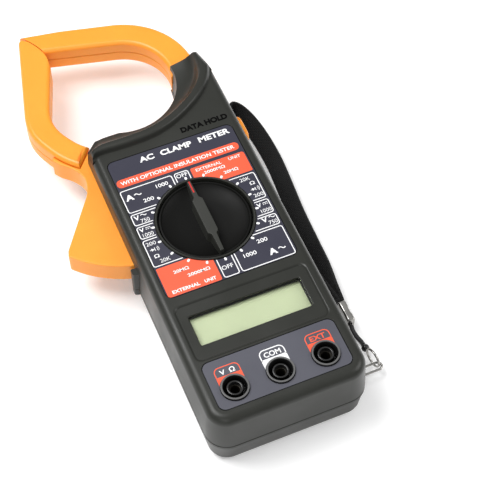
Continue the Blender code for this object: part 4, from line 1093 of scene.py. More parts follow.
@dataclass
class Overlays:
    """Printed films round the dial and the sockets."""

    level: float = 33.955
    line: float = 0.42
    corner_r: float = 1.1
    ring_r: float = 21.1
    tick_r: float = 22.0
    collar_r: float = 5.95

    def _trim(self, route: Outline, centre: Point, radius: float) -> Outline:
        """Push the points of a route that lie inside a circle out to its rim."""
        moved = []
        for x, y in route:
            away = Vector((x - centre[0], y - centre[1]))
            if away.length < radius:
                away = away.normalized() * radius
            moved.append((centre[0] + away.x, centre[1] + away.y))
        return moved

    def _open_box(self, corners: Sequence[Point]) -> Mesh:
        """White outline of a group whose open side is at the dial's ring."""
        soft = [corners[0]]
        for before, here, after in zip(corners, corners[1:], corners[2:]):
            spot = Vector(here)
            a = (Vector(before) - spot).normalized() * self.corner_r
            b = (Vector(after) - spot).normalized() * self.corner_r
            shares = [k / 5 for k in range(6)]
            soft += [tuple(spot + a * (1 - t) ** 2 + b * t ** 2) for t in shares]
        soft.append(corners[-1])
        return Lettering.stroke(self._trim(soft, DIAL, self.ring_r + 0.2), self.line,
                                self.level)

    def _filled(self, corners: Sequence[Point], centre: Point, radius: float) -> Mesh:
        """Filled block that stops at a round ring."""
        plan = rounded(corners, 5)
        dense: Outline = []
        for (x0, y0), (x1, y1) in zip(plan, plan[1:] + plan[:1]):
            dense += [(x0 + (x1 - x0) * k / 12, y0 + (y1 - y0) * k / 12) for k in range(12)]
        block = Solid.prism(dense, self.level, self.level + FILM)
        block.cut(Solid.prism(circle(centre, radius, 128), 30, 40))
        made = block.mesh()
        made.transform(Matrix.Scale(1 / MM, 4))
        return made

    def _tab(self, x: float, shoulder: float, width: float, foot: float) -> list[Mesh]:
        """Outline of a socket's tab and the filled block under its word."""
        route = [(x + 5.1, -41.8)] + arc((x + 3.0, shoulder), 2.1, 0, 90, 6)
        route += arc((x - 3.0, shoulder), 2.1, 90, 180, 6) + [(x - 5.1, -41.8)]
        block = [(x - 5.3, -49.0, 0.3), (x + 5.3, -49.0, 0.3), (x + 5.3, foot, 0.4),
                 (x - 5.3, foot, 0.4)]
        return [Lettering.stroke(route, width, self.level),
                self._filled(block, (x, SOCKET_Y), self.collar_r)]

    def _coral(self) -> Mesh:
        """Coral band, blocks and tabs."""
        parts = [Lettering.plate(rounded(box((-28.0, 27.3), (57.7, 61.9), 1.9), 6), self.level)]
        for block in ([(3.4, 45.2, 0.4), (27.9, 45.2, 0.5), (27.9, 56.0, 1.2), (3.4, 56.0, 0.8)],
                      [(-28.0, -0.6, 1.2), (-4.8, -0.6, 0.8), (-4.8, 14.2, 0.4),
                       (-28.0, 14.2, 0.5)]):
            parts.append(self._filled(block, DIAL, self.ring_r))
        for x in (SOCKET_X[0], SOCKET_X[2]):
            parts += self._tab(x, -39.7, 0.4, -41.6)
        parts.append(Lettering.words("EXT", (SOCKET_X[2], -39.9), 2.3, 6.6, self.level, 0.02))
        return Lettering.press(parts)

    def _outlines(self) -> list[Mesh]:
        """White outlines of the dial's groups and of the middle socket's tab."""
        boxes = (
            [(-5.2, 50.6), (-5.2, 55.9), (-28.2, 55.9), (-28.2, 44.2), (-16.2, 44.2)],
            [(-3.9, 51.3), (-3.9, 55.9), (2.2, 55.9), (2.2, 51.3)],
            [(-17.2, 42.9), (-28.2, 42.9), (-28.2, 37.3), (-20.4, 37.3)],
            [(-20.9, 36.1), (-28.2, 36.1), (-28.2, 30.1), (-21.8, 30.1)],
            [(-21.8, 28.9), (-28.2, 28.9), (-28.2, 15.3), (-15.8, 15.3)],
            [(-3.6, 8.9), (-3.6, -0.3), (2.9, -0.3), (2.9, 8.8)],
            [(4.2, 9.0), (4.2, -0.3), (27.6, -0.3), (27.6, 14.4), (14.6, 14.4)],
            [(16.6, 15.7), (27.6, 15.7), (27.6, 21.0), (19.8, 21.0)],
            [(20.3, 22.2), (27.6, 22.2), (27.6, 29.1), (21.7, 29.1)],
            [(21.7, 30.3), (27.6, 30.3), (27.6, 44.0), (16.4, 44.0)])
        return ([self._open_box(corners) for corners in boxes]
                + self._tab(SOCKET_X[1], -39.3, 0.45, -41.2))

    def _signs(self, x: float, y: float, wave: bool, size: float) -> list[Mesh]:
        """Sine sign for alternating, or bar and dashes for direct current."""
        if wave:
            route = [(x + (k / 12 - 0.5) * 2.8 * size,
                      y + 0.42 * size * math.sin(math.tau * k / 12)) for k in range(13)]
            return [Lettering.stroke(route, 0.4 * size, self.level)]
        dashes = ((x, 1.1, 0.45, 0.32), (x - 0.85, 0.25, -0.3, 0.3), (x, 0.25, -0.3, 0.3),
                  (x + 0.85, 0.25, -0.3, 0.3))
        return [Lettering.stroke([(middle - half, y + up), (middle + half, y + up)], width,
                                 self.level) for middle, half, up, width in dashes]

    def _diode(self, x: float, y: float) -> list[Mesh]:
        """Diode sign with its sound arcs."""
        low = self.level
        routes = [([(x + 0.25, y - 0.8), (x + 0.25, y + 0.8)], 0.3),
                  ([(x - 1.9, y), (x - 1.1, y)], 0.25)]
        routes += [(arc((x + 0.5, y), radius, -50, 50, 6), 0.22) for radius in (0.9, 1.5)]
        return ([Lettering.plate([(x - 1.2, y - 0.75), (x + 0.1, y), (x - 1.2, y + 0.75)], low)]
                + [Lettering.stroke(route, width, low) for route, width in routes])

    def _white(self) -> Mesh:
        """All white lettering, signs and outlines."""
        on_slate = (
            ("AC", -11.4, 68.6, 2.9, 6.6, 0.035), ("CLAMP", 2.0, 68.6, 2.9, 14.2, 0.035),
            ("METER", 19.6, 68.8, 2.9, 14.2, 0.035), ("OFF", -0.9, 54.2, 2.0, 4.9, 0.01),
            ("OFF", -0.7, 4.3, 2.0, 4.9, 0.01), ("20K", 22.7, 41.9, 1.8, 4.4, 0.0),
            ("Ω", 24.9, 39.0, 1.8, 2.2, 0.02), ("200", 25.1, 32.4, 1.8, 4.2, 0.0),
            ("V", 23.0, 27.1, 2.0, 2.0, 0.03), ("1000", 24.9, 23.9, 1.8, 4.6, 0.0),
            ("V", 22.2, 19.4, 2.4, 2.4, 0.03), ("750", 25.2, 17.4, 1.9, 3.8, 0.0),
            ("200", 17.3, 10.7, 1.9, 4.6, 0.015), ("1000", 10.1, 6.3, 1.9, 5.6, 0.015),
            ("A", 19.3, 4.0, 3.0, 3.6, 0.05), ("1000", -10.4, 52.9, 1.9, 5.4, 0.015),
            ("200", -18.2, 48.0, 1.9, 4.6, 0.015), ("A", -25.3, 51.8, 3.0, 3.6, 0.05),
            ("V", -26.2, 40.9, 2.4, 2.4, 0.03), ("750", -23.2, 38.8, 1.9, 3.8, 0.0),
            ("V", -26.4, 34.4, 2.0, 2.0, 0.03), ("1000", -24.6, 31.6, 1.8, 4.6, 0.0),
            ("200", -25.3, 26.8, 1.8, 4.2, 0.0), ("Ω", -25.2, 20.2, 1.8, 2.2, 0.02),
            ("20K", -22.6, 17.3, 1.8, 4.4, 0.0), ("V  Ω", SOCKET_X[0], -39.9, 2.3, 6.2, 0.02),
            ("COM", SOCKET_X[1], -39.5, 2.3, 7.0, 0.02))
        on_coral = (
            ("WITH OPTIONAL INSULATION TESTER", -0.5, 59.8, 1.9, 51.6, 0.02),
            ("EXTERNAL", 11.3, 54.2, 1.5, 11.6, 0.01), ("UNIT", 23.2, 54.4, 1.5, 5.4, 0.01),
            ("2000MΩ", 13.0, 51.7, 1.6, 9.4, 0.02), ("20MΩ", 19.2, 48.5, 1.6, 6.4, 0.02),
            ("20MΩ", -18.6, 10.1, 1.6, 6.6, 0.02), ("2000MΩ", -12.2, 6.6, 1.6, 9.6, 0.02),
            ("EXTERNAL", -19.8, 1.3, 1.6, 11.8, 0.03), ("UNIT", -9.3, 1.3, 1.6, 5.0, 0.03))
        parts = self._outlines()
        for low, lines in ((self.level, on_slate), (self.level + FILM, on_coral)):
            parts += [Lettering.words(text, (x, y), cap, width, low, bold)
                      for text, x, y, cap, width, bold in lines]
        for sign in ((23.4, 4.3, True, 1.1), (-21.5, 52.2, True, 1.1), (25.6, 20.0, True, 0.9),
                     (-23.0, 41.6, True, 0.9), (25.8, 27.2, False, 1), (-23.6, 34.5, False, 1)):
            parts += self._signs(*sign)
        for x, y in ((24.8, 35.7), (-25.0, 23.6)):
            parts += self._diode(x, y)
        return Lettering.press(parts)

    def build(self, shop: Workshop, repeat: Repeater, nodes: Nodes) -> None:
        """Dress the films and lay the print on them."""
        shop.dress(nodes, DIAL_SLATE, "dial_label")
        shop.dress(nodes, SOCKET_SLATE, "socket_label")
        shop.place("coral_print", self._coral(), PRINT_CORAL, Body.CASE, "label")
        shop.place("white_print", self._white(), PRINT_WHITE, Body.CASE, "label")
        tick = Solid.prism(rounded(slab(0.5, (-0.75, 0.75), 0.45), 4), 0.0, 0.04)
        ticks = repeat.run(repeat.ring(), tick, {
            "Count": 18, "Radius": self.tick_r, "Finish": shop.material(PRINT_WHITE)})
        spot = Vector((*DIAL, self.level + FILM)) * MM
        ticks.transform(Matrix.Translation(spot) @ Matrix.Rotation(math.pi / 2, 4, "Z"))
        shop.place("range_ticks", ticks, PRINT_WHITE, Body.CASE, "label")


# ------------------------------------------------------------------ display and sockets

@dataclass
class Display:
    """Window, glass and frame of the reading."""

    half_width: float = 24.2
    y: tuple[float, float] = (-25.3, -11.1)

    def build(self, shop: Workshop, nodes: Nodes) -> None:
        """Dress the display's own nodes and lay the panel's dark edge line."""
        shop.dress(nodes, LCD_CLEAR, "lcd_window")
        shop.dress(nodes, LCD_GREEN, "lcd_glass")
        shop.dress(nodes, FRAME_BLACK, "lcd_frame")
        shop.dress(nodes, RUBBER, "lcd_rubber_connector")
        x, (low, high) = self.half_width, self.y
        edge = plan_at(slab(x - 0.3, (low + 0.3, high - 0.3), 0.7), 0, 5)
        line = Lettering.stroke(edge, 0.35, 31.62, closed=True)
        shop.place("display_edge", Lettering.press([line]), FRAME_BLACK, Body.CASE, "label")


@dataclass
class Sockets:
    """Three test sockets."""

    names: tuple[str, ...] = ("volt_ohm", "common", "external")
    outer_r: float = 5.7
    top: float = 35.0
    low: float = 21.4

    def shape(self, x: float) -> Solid:
        """One socket with a rolled rim, a deep well and a bored post."""
        r, top = self.outer_r, self.top
        profile = [(2.0, self.low), (r - 0.3, self.low), (r - 0.3, 29.9), (r, 30.1),
                   (r, top - 0.55), (r - 0.12, top - 0.2), (r - 0.4, top), (r - 0.8, top - 0.02),
                   (4.72, top - 0.25), (4.62, top - 0.7), (4.6, 24.0), (3.3, 24.0),
                   (3.3, top - 1.3), (3.15, top - 1.05), (2.85, top - 0.95), (2.55, top - 1.05),
                   (2.4, top - 1.4), (2.38, 23.2), (2.0, 23.2)]
        return Solid.turned((x, SOCKET_Y), profile, 96)

    def build(self, shop: Workshop, nodes: Nodes) -> None:
        """Make the sockets with their painted rim highlights and dress their sleeves."""
        for name, x in zip(self.names, SOCKET_X):
            shop.place(f"{name}_socket", self.shape(x).mesh(), SOCKET_BLACK, Body.CASE,
                       "black_plastic", [f"socket_{name}"], 40)
            # Thin grey ring on the socket's rolled rim: a painted highlight on the black plastic.
            highlight_ring = Solid.turned((x, SOCKET_Y), [
                (4.85, self.top - 0.14), (5.62, self.top - 0.14), (5.62, self.top - 0.02),
                (5.3, self.top + 0.03), (4.95, self.top + 0.0)], 96)
            shop.place(f"{name}_rim", highlight_ring.mesh(), RIM_HIGHLIGHT_GREY, Body.CASE, "black_plastic")
            shop.dress(nodes, SLEEVE_DARK, f"socket_sleeve_{name}")


# ------------------------------------------------------------------ dial

@dataclass
class RangeDial:
    """Dished selector with a grip bar and a pointer line."""

    radius: float = 19.4
    low: float = 29.2
    rim: float = 33.4
    bar_top: float = 36.2

    def _bar_plan(self, shift: float) -> Outline:
        """Plan of the grip bar, moved inwards."""
        x, y = DIAL
        half: list[Point] = [(0.85 - shift * 0.7, 18.7 - shift * 0.5), (1.15 - shift * 0.7, 10.1),
                             (1.3 - shift, 9.75), (2.2 - shift, 8.75), (2.4 - shift, 8.3),
                             (2.4 - shift, 0.0)]
        right = half + [(a, -b) for a, b in half[-2::-1]]
        left = [(-a, -b) for a, b in right]
        return [(x + a, y + b) for a, b in (right + left)[::-1]]

    def body(self) -> tuple[Solid, Solid]:
        """Disc with a dished face and a bead at its rim, and the bar across it."""
        r, low, rim = self.radius, self.low, self.rim
        profile = [(0, low - 0.2), (3.4, low - 0.2), (3.4, low), (r - 0.2, low), (r, low + 0.2),
                   (r, rim - 0.5), (r - 0.15, rim - 0.15), (r - 0.5, rim), (r - 0.9, rim - 0.05),
                   (r - 1.15, rim - 0.4), (r - 1.4, rim - 0.8), (r - 3.0, rim - 1.7),
                   (r - 5.5, rim - 2.5), (r - 8.5, rim - 3.0), (r - 13.0, rim - 3.2),
                   (0, rim - 3.25)]
        disc = Solid.turned(DIAL, profile, 128)
        top = self.bar_top
        bar = Solid.loft([(self._bar_plan(-0.35), low + 0.8), (self._bar_plan(-0.15), rim - 1.6),
                          (self._bar_plan(0), top - 0.5), (self._bar_plan(0.08), top - 0.2),
                          (self._bar_plan(0.22), top - 0.05), (self._bar_plan(0.34), top)])
        groove = Solid.prism([(DIAL[0] + a, DIAL[1] + b) for a, b in (
            (-0.34, 12.4), (0.34, 12.4), (0.34, 19.2), (-0.34, 19.2))], top - 0.4, top + 2)
        return disc, bar.cut(groove)

    def build(self, shop: Workshop) -> None:
        """Make the disc, the grip bar and the pointer line."""
        disc, bar = self.body()
        for name, solid, finish in (("range_dial", disc, KNOB_BLACK),
                                    ("range_dial_grip", bar, GRIP_GREY)):
            shop.place(name, solid.mesh(), finish, Body.DIAL, "black_plastic", ["dial_knob"], 36)
        x, y = DIAL
        line = Solid.block((x - 0.32, x + 0.32), (y + 12.45, y + 18.5),
                           (self.bar_top - 0.42, self.bar_top - 0.12))
        shop.place("pointer_line", line.mesh(), POINTER_RED, Body.DIAL, "black_plastic")


# ------------------------------------------------------------------ jaws and trigger

@dataclass
class Jaws:
    """Fixed and moving jaw, their laminated cores and the trigger lever."""

    fixed: tuple[float, float] = (-5.5, 119.7)
    fixed_r: tuple[float, float] = (23.3, 35.6)
    lean: float = 75.9
    moving: tuple[float, float] = (-14.0, 110.0)
    moving_r: tuple[float, float] = (25.2, 36.5)
    corner: tuple[float, float] = (-38.6, 162.4)
    tip: tuple[float, float] = (-39.9, 162.0)
    outer_bulge: float = 1.5
    inner_bulge: float = 1.3
    z: tuple[float, float] = (12.5, 25.5)
    split: float = 19.0
    gap: float = 0.3
    edge: float = 2.1
    core_width: float = 6.0
    core_z: tuple[float, float] = (15.4, 22.2)
    lever_z: tuple[float, float] = (13.6, 23.8)
    fan_r: float = 47.8

    def _straight(self, radius: float) -> tuple[Point, Point]:
        """Start of the fixed jaw's straight stretch and its direction."""
        lean = math.radians(self.lean)
        return polar(self.fixed, radius, self.lean), (-math.sin(lean), math.cos(lean))

    def _joint(self, shift: float) -> Outline:
        """Line where the jaws meet, from the outside in."""
        ends = (self.corner, (-34.2, 155.8), (-31.2, 148.5), (-31.0, 140.5))
        return [(x + shift, y) for x, y in smooth_route(ends, 5)]

    def fixed_plan(self) -> Outline:
        """Plan of the fixed jaw, reaching past the joint."""
        inner_r, outer_r = self.fixed_r
        start, along = self._straight(inner_r)
        ends = [(-20.5, 160.0), (-60.0, 166.4),
                (start[0] + along[0] * 50, start[1] + along[1] * 50)]
        return (arc(self.fixed, outer_r, -14, self.lean, 36) + ends
                + arc(self.fixed, inner_r, self.lean, -14, 30))

    def moving_plan(self) -> Outline:
        """Plan of the moving jaw, reaching past the joint."""
        inner_r, outer_r = self.moving_r
        tip, root = 164.0, 229.5
        outer = [polar(self.moving, outer_r + self.outer_bulge * eased((206 - angle) / 26), angle)
                 for angle in (tip + (root - tip) * k / 44 for k in range(45))]
        inner = [polar(self.moving, inner_r + self.inner_bulge * eased((212 - angle) / 36), angle)
                 for angle in (root + (tip - root) * k / 36 for k in range(37))]
        ends = []
        for start, through in ((inner[-1], (-31.4, 140.5)), (outer[0], self.tip)):
            along = Vector(through) - Vector(start)
            ends.append(tuple(Vector(start) + along.normalized() * 60))
        return outer + inner + ends

    def _side(self, fixed: bool) -> Outline:
        """Region that belongs to the other jaw, bounded by the joint."""
        shift = (self.gap / 2 + 0.14) * (1 if fixed else -1)
        joint = self._joint(shift)
        if fixed:
            return joint + [(-31.0 + shift, 124.0), (-70.0, 124.0), (-70.0, 180.0),
                            (-39.4, 180.0), (-39.0, 163.2)]
        along = (Vector(self.tip) - Vector((-50.9, 120.4))).normalized()
        start = Vector(self.tip) - along * 2.8
        soft = [tuple(start * (1 - t) ** 2 + Vector(self.tip) * 2 * t * (1 - t)
                      + Vector(joint[3]) * t ** 2) for t in (k / 8 for k in range(9))]
        return ([(-31.0 + shift, 124.0)] + joint[:3:-1] + soft[::-1]
                + [(-45.0, start.y - 1.0), (-45.0, 185.0), (30.0, 185.0), (30.0, 124.0)])

    def _core_route(self, fixed: bool) -> Outline:
        """Middle line of a jaw's core."""
        if not fixed:
            middle_r = sum(self.moving_r) / 2
            end = math.degrees(math.acos((-20.9 - self.moving[0]) / middle_r))
            return [(-38.4, 151.0)] + arc(self.moving, middle_r, 163.5, 360 - end, 28)
        middle_r = sum(self.fixed_r) / 2
        start, along = self._straight(middle_r)
        route = [(start[0] + along[0] * 26.6, start[1] + along[1] * 26.6)]
        route += arc(self.fixed, middle_r, self.lean, 0, 24)
        end = math.degrees(math.acos((-20.1 + 9.4) / 33.4))
        return route + arc((-9.4, 112.5), 33.4, 0, -end, 32)

    @staticmethod
    def _band(route: Outline, width: float) -> Outline:
        """Outline of a strip along a middle line."""
        left, right = [], []
        for i, point in enumerate(route):
            along = (Vector(route[min(i + 1, len(route) - 1)])
                     - Vector(route[max(i - 1, 0)])).normalized()
            side = Vector((-along.y, along.x)) * width / 2
            left.append(tuple(Vector(point) + side))
            right.append(tuple(Vector(point) - side))
        return right + left[::-1]

    def shell(self, fixed: bool, front: bool, route: Outline) -> Solid:
        """Half shell of a jaw with well-rounded edges and a small bevel at the seam."""
        plan = self.fixed_plan() if fixed else self.moving_plan()
        low, high = self.z
        seam = 0.22
        steps = quarter(self.edge, 7)
        if front:
            base = self.split + self.gap / 2
            rings = [(plan_at(plan, seam, 3), base), (plan, base + seam)]
            rings += [(plan_at(plan, shift, 3), high - drop) for shift, drop in steps]
            channel = (base - 5, self.core_z[1] + self.gap)
        else:
            base = self.split - self.gap / 2
            rings = [(plan_at(plan, shift, 3), low + drop) for shift, drop in steps[::-1]]
            rings += [(plan, base - seam), (plan_at(plan, seam, 3), base)]
            channel = (self.core_z[0] - self.gap, base + 5)
        return Solid.loft(rings).cut(
            Solid.prism(self._side(fixed), 0, 60),
            Solid.prism(self._band(route, self.core_width + 2 * self.gap), *channel))

    def lever_plan(self) -> Outline:
        """Plan of the trigger lever."""
        pivot, fan_r = PIVOT, self.fan_r
        fan = arc(pivot, fan_r, -100, -139.5, 36)
        neck = smooth_route([(-45.1, 61.8), (-41.6, 64.8), (-39.0, 69.2), (-37.6, 74.4),
                             (-38.6, 79.3), (-41.6, 83.9), (-45.2, 87.4), (-47.4, 90.6)], 4)[4:]
        ledge = arc(self.moving, self.moving_r[1] + self.gap, 208, 229.9, 20)
        root = [polar(self.moving, self.moving_r[0] + 0.6, -129.9), (-27.4, 87.4), (-21.2, 84.4)]
        hub = arc(pivot, 4.6, 88, -70, 24)
        return (fan[:-1] + [polar(pivot, fan_r - 0.4, -139.5), polar(pivot, fan_r - 2.4, -141.1)]
                + [tuple(p[:2]) for p in neck] + ledge + root + hub
                + [(pivot[0] - 3.2, pivot[1] - 9.0)])[::-1]

    def lever(self) -> Solid:
        """Trigger lever with rounded edges, the core's pocket and the pin's bore."""
        plan = self.lever_plan()
        (low, high), edge = self.lever_z, 0.5
        steps = quarter(edge, 4)
        rings = [(plan_at(plan, shift, 3), low + drop) for shift, drop in steps[::-1]]
        rings += [(plan_at(plan, shift, 3), high - drop) for shift, drop in steps]
        pocket = self._band(self._core_route(False)[-24:], self.core_width + 2 * self.gap)
        return Solid.loft(rings).cut(
            Solid.prism(pocket, self.core_z[0] - self.gap, self.core_z[1] + self.gap),
            Solid.prism(circle(PIVOT, 2.2, 40), 5, 40))

    def build(self, shop: Workshop, nodes: Nodes) -> None:
        """Make the jaws and the lever and dress the cores."""
        for name, body, fixed in (("fixed", Body.CASE, True), ("moving", Body.CLAMP, False)):
            route = self._core_route(fixed)
            for side, front in (("front", True), ("rear", False)):
                shop.place(f"{name}_jaw_{side}", self.shell(fixed, front, route).mesh(),
                           JAW_ORANGE, body, "jaw", [f"{name}_jaw_{side}_shell"], 34)
            core = Solid.prism(self._band(route, self.core_width), *self.core_z)
            shop.place(f"{name}_laminated_core", core.mesh(), CORE_STEEL, body, "core_steel",
                       [f"{name}_core"])
        shop.place("trigger", self.lever().mesh(), JAW_ORANGE, Body.CLAMP, "jaw",
                   ["trigger_lever"], 34)
        shop.dress(nodes, STEEL, "pivot_pin", "trigger_spring")


@dataclass
class HoldKey:
    """Side key with a crowned face."""

    y: float = 75.8
    z: float = 21.8
    half_length: float = 6.8
    half_height: float = 2.9
    root_x: float = 31.6
    face_x: float = 37.0

    def build(self, shop: Workshop, nodes: Nodes) -> None:
        """Make the key and dress its switch."""
        plan = rounded(slab(self.half_length, (-self.half_height, self.half_height), 2.6), 10)
        stages = [(self.root_x, 1.0), (self.face_x - 1.5, 0.98)]
        stages += [(self.face_x - 1.5 + 1.5 * math.sin(t), 0.42 + 0.56 * math.cos(t) ** 0.6)
                   for t in (math.radians(12 * k) for k in range(1, 8))]
        sections = [[Vector((x, self.y + p * share, self.z + q * share)) for p, q in plan]
                    for x, share in stages]
        key = Solid.swept(sections)
        shop.place("hold_key", key.mesh(), JAW_ORANGE, Body.HOLD, "jaw", ["hold_button"], 40)
        shop.dress(nodes, KNOB_BLACK, "hold_plunger")
        shop.dress(nodes, STEEL, "hold_switch")


# ------------------------------------------------------------------ wrist strap

@dataclass
class WristStrap:
    """Webbing loop, crimp, thin cord, bead, ring and link."""

    width: float = 8.5
    thickness: float = 1.2
    route: tuple[Point, ...] = (
        (43.9, -13.6, 3.9, 4), (43.9, -6, 4.2, 14), (44.0, 6, 3.9, 36), (44.3, 20, 3.7, 44),
        (44.9, 36, 3.6, 48), (46.3, 52, 3.5, 50), (47.3, 66, 3.5, 50), (47.1, 79, 3.5, 50),
        (45.9, 90, 3.6, 46), (43.8, 98, 3.9, 34), (41.2, 101.6, 4.4, 18), (38.9, 99.4, 4.7, 8),
        (37.9, 92, 4.8, 2), (37.5, 78, 4.8, 2), (37.3, 60, 4.8, 2), (37.3, 40, 4.8, 2),
        (37.6, 20, 4.8, 2), (38.6, 6, 4.7, 3), (40.4, -4, 4.4, 3), (41.9, -10, 4.1, 3),
        (42.4, -13.6, 3.9, 3))
    crimp_x: tuple[float, float] = (41.4, 45.0)
    crimp_y: tuple[float, float] = (-24.0, -13.9)
    crimp_z: tuple[float, float] = (0.7, 7.1)
    cord_r: float = 1.0
    cord_route: tuple[Point, ...] = ((43.2, -24.4, 2.6), (42.9, -27.0, 2.2), (43.3, -30.0, 1.9),
                                     (43.9, -32.6, 2.0), (43.9, -34.6, 2.6))
    bead: tuple[float, float, float] = (43.8, -36.6, 3.3)
    bead_r: float = 1.7
    ring: tuple[float, float, float] = (44.2, -42.9, 5.0)
    ring_r: float = 4.1
    ring_turn: float = -80.0
    wire_r: float = 0.5
    link_x: tuple[float, float] = (35.9, 46.1)
    link_y: float = -46.9
    link_z: float = 4.6
    link_half: float = 1.7

    def webbing(self) -> tuple[Mesh, list[Vector], float]:
        """Make the webbing with the weave's coordinates along and across it.

        Returns:
            The mesh in metres, its middle line in metres and the line's length in metres.
        """
        line = smooth_route(self.route, 10)
        shape = bmesh.new()
        layer = shape.loops.layers.uv.new("weave")
        profile = [(-1.0, -0.55), (-0.97, -1.0), (-0.33, -1.0), (0.33, -1.0), (0.97, -1.0),
                   (1.0, -0.55), (1.0, 0.55), (0.97, 1.0), (0.33, 1.0), (-0.33, 1.0),
                   (-0.97, 1.0), (-1.0, 0.55)]
        rows, reach, total = [], [], 0.0
        for i, (x, y, z, lean) in enumerate(line):
            here = Vector((x, y, z))
            before = Vector(line[max(i - 1, 0)][:3])
            after = Vector(line[min(i + 1, len(line) - 1)][:3])
            total += (here - before).length
            reach.append(total)
            along = (after - before).normalized()
            tilt = math.radians(lean)
            across = Vector((math.sin(tilt), 0, math.cos(tilt)))
            across = (across - along * across.dot(along)).normalized()
            squeeze = min(1.0, 0.7 + min(i, len(line) - 1 - i) * 0.015)
            half = across * self.width / 2 * squeeze
            thick = along.cross(across).normalized() * self.thickness / 2
            rows.append([shape.verts.new((here + half * s + thick * t) * MM) for s, t in profile])
        count = len(profile)
        for k, (here, there) in enumerate(zip(rows, rows[1:])):
            for i in range(count):
                j = (i + 1) % count
                face = shape.faces.new((here[i], here[j], there[j], there[i]))
                for loop, (corner, row) in zip(face.loops, ((i, k), (j, k), (j, k + 1),
                                                            (i, k + 1))):
                    loop[layer].uv = (profile[corner][0] * self.width / 2 * MM, reach[row] * MM)
        shape.faces.new(rows[0])
        shape.faces.new(rows[-1][::-1])
        bmesh.ops.recalc_face_normals(shape, faces=shape.faces)
        return freed_mesh(shape, "webbing"), [Vector(p[:3]) * MM for p in line], total * MM

    def _crimp(self) -> Solid:
        """Flat metal sleeve, pressed in at its middle."""
        (x0, x1), (y0, y1), (z0, z1) = self.crimp_x, self.crimp_y, self.crimp_z
        plan = rounded(slab((x1 - x0) / 2, ((z0 - z1) / 2, (z1 - z0) / 2), 1.1), 6)
        stages = [(y0, 0.86), (y0 + 0.25, 0.96), (y0 + 0.7, 1.0), (y0 + 3.1, 1.0),
                  (y0 + 3.7, 0.9), (y0 + 6.4, 0.9), (y0 + 7.0, 1.0), (y1 - 0.7, 1.0),
                  (y1 - 0.25, 0.96), (y1, 0.86)]
        return Solid.swept([[Vector(((x0 + x1) / 2 + a * share, y, (z0 + z1) / 2 + b * share))
                             for a, b in plan] for y, share in stages])

    def _tube(self, route: Sequence[Vector], radius: float, closed: bool,
              normal: Vector = Vector((0, 0, 1)), sides: int = 20) -> Solid:
        """Round tube along a route in millimetres, its sections starting at a normal."""
        count = len(route)
        sections = []
        for i in range(count):
            before = route[i - 1] if closed else route[max(i - 1, 0)]
            after = route[(i + 1) % count] if closed else route[min(i + 1, count - 1)]
            along = (after - before).normalized()
            normal = (normal - along * normal.dot(along)).normalized()
            side = along.cross(normal)
            sections.append([route[i] + (normal * math.cos(t) + side * math.sin(t)) * radius
                             for t in (math.tau * k / sides for k in range(sides))])
        return Solid.swept(sections, closed)

    def build(self, shop: Workshop) -> None:
        """Make the strap and log its webbing's length."""
        metal = shop.place("crimp_sleeve", self._crimp().mesh(), STEEL, Body.CASE, "steel",
                           ["strap_crimp"], 40)
        bead = Solid.turned(self.bead[:2], [
            (self.bead_r * math.sin(t), self.bead[2] - self.bead_r * math.cos(t))
            if 0 < k < 16 else (0, self.bead[2] - self.bead_r * math.cos(t))
            for k, t in enumerate(math.pi * k / 16 for k in range(17))], 40)
        stop = shop.place("cord_bead", bead.mesh(), SOCKET_BLACK, Body.CASE, "black_plastic",
                          ["strap_bead"], 60)
        turn = math.radians(self.ring_turn)
        flat = Vector((-math.sin(turn), math.cos(turn), 0))
        level, upright = Vector((math.cos(turn), math.sin(turn), 0)), Vector((0, 0, 1))
        round_line = [Vector(self.ring) + (level * math.cos(t) + upright * math.sin(t))
                      * self.ring_r for t in (math.tau * k / 64 for k in range(64))]
        half = self.link_half
        stadium = (arc((self.link_x[0] + half, self.link_y), half, 90, 270, 18)
                   + arc((self.link_x[1] - half, self.link_y), half, -90, 90, 18))
        flat_line = [Vector((a, b, self.link_z)) for a, b in stadium]
        wires = [shop.place(name, self._tube(wire, self.wire_r, True, normal).mesh(), STEEL,
                            Body.CASE, "steel", [node], 60)
                 for name, wire, normal, node in (
                     ("split_ring", round_line, flat, "strap_ring"),
                     ("wire_link", flat_line, upright, "strap_link"))]
        mesh, line, length = self.webbing()
        strap = shop.place("webbing_loop", mesh, WEBBING, Body.CASE, "webbing",
                           ["strap_webbing"], 50)
        cord_line = [Vector(p) for p in smooth_route(self.cord_route, 8)]
        cord = shop.place("thin_cord", self._tube(cord_line, self.cord_r, False).mesh(),
                          CORD_BLACK, Body.CASE, "webbing", ["strap_cord"], 50)
        LOG.info("webbing %.1f mm", length / MM)


# ------------------------------------------------------------------ inside

class Inside:
    """Finishes of what the case hides."""

    @staticmethod
    def build(shop: Workshop, nodes: Nodes) -> None:
        """Dress the board, the battery, the switch and the coil."""
        for finish, names in (
                (BOARD, ("main_board",)),
                (KNOB_BLACK, ("meter_chip", "buzzer", "battery_snap")),
                (BATTERY, ("battery",)),
                (STEEL, ("board_screw_1", "board_screw_2", "detent_spring_1", "detent_spring_2",
                         "detent_ball_1", "detent_ball_2")),
                (IVORY, ("switch_rotor", "detent_ring", "coil_bobbin")),
                (BRASS, ("rotor_contact_inner", "rotor_contact_outer")),
                (COPPER, ("coil_winding",))):
            shop.dress(nodes, finish, *names)


# ------------------------------------------------------------------ studio

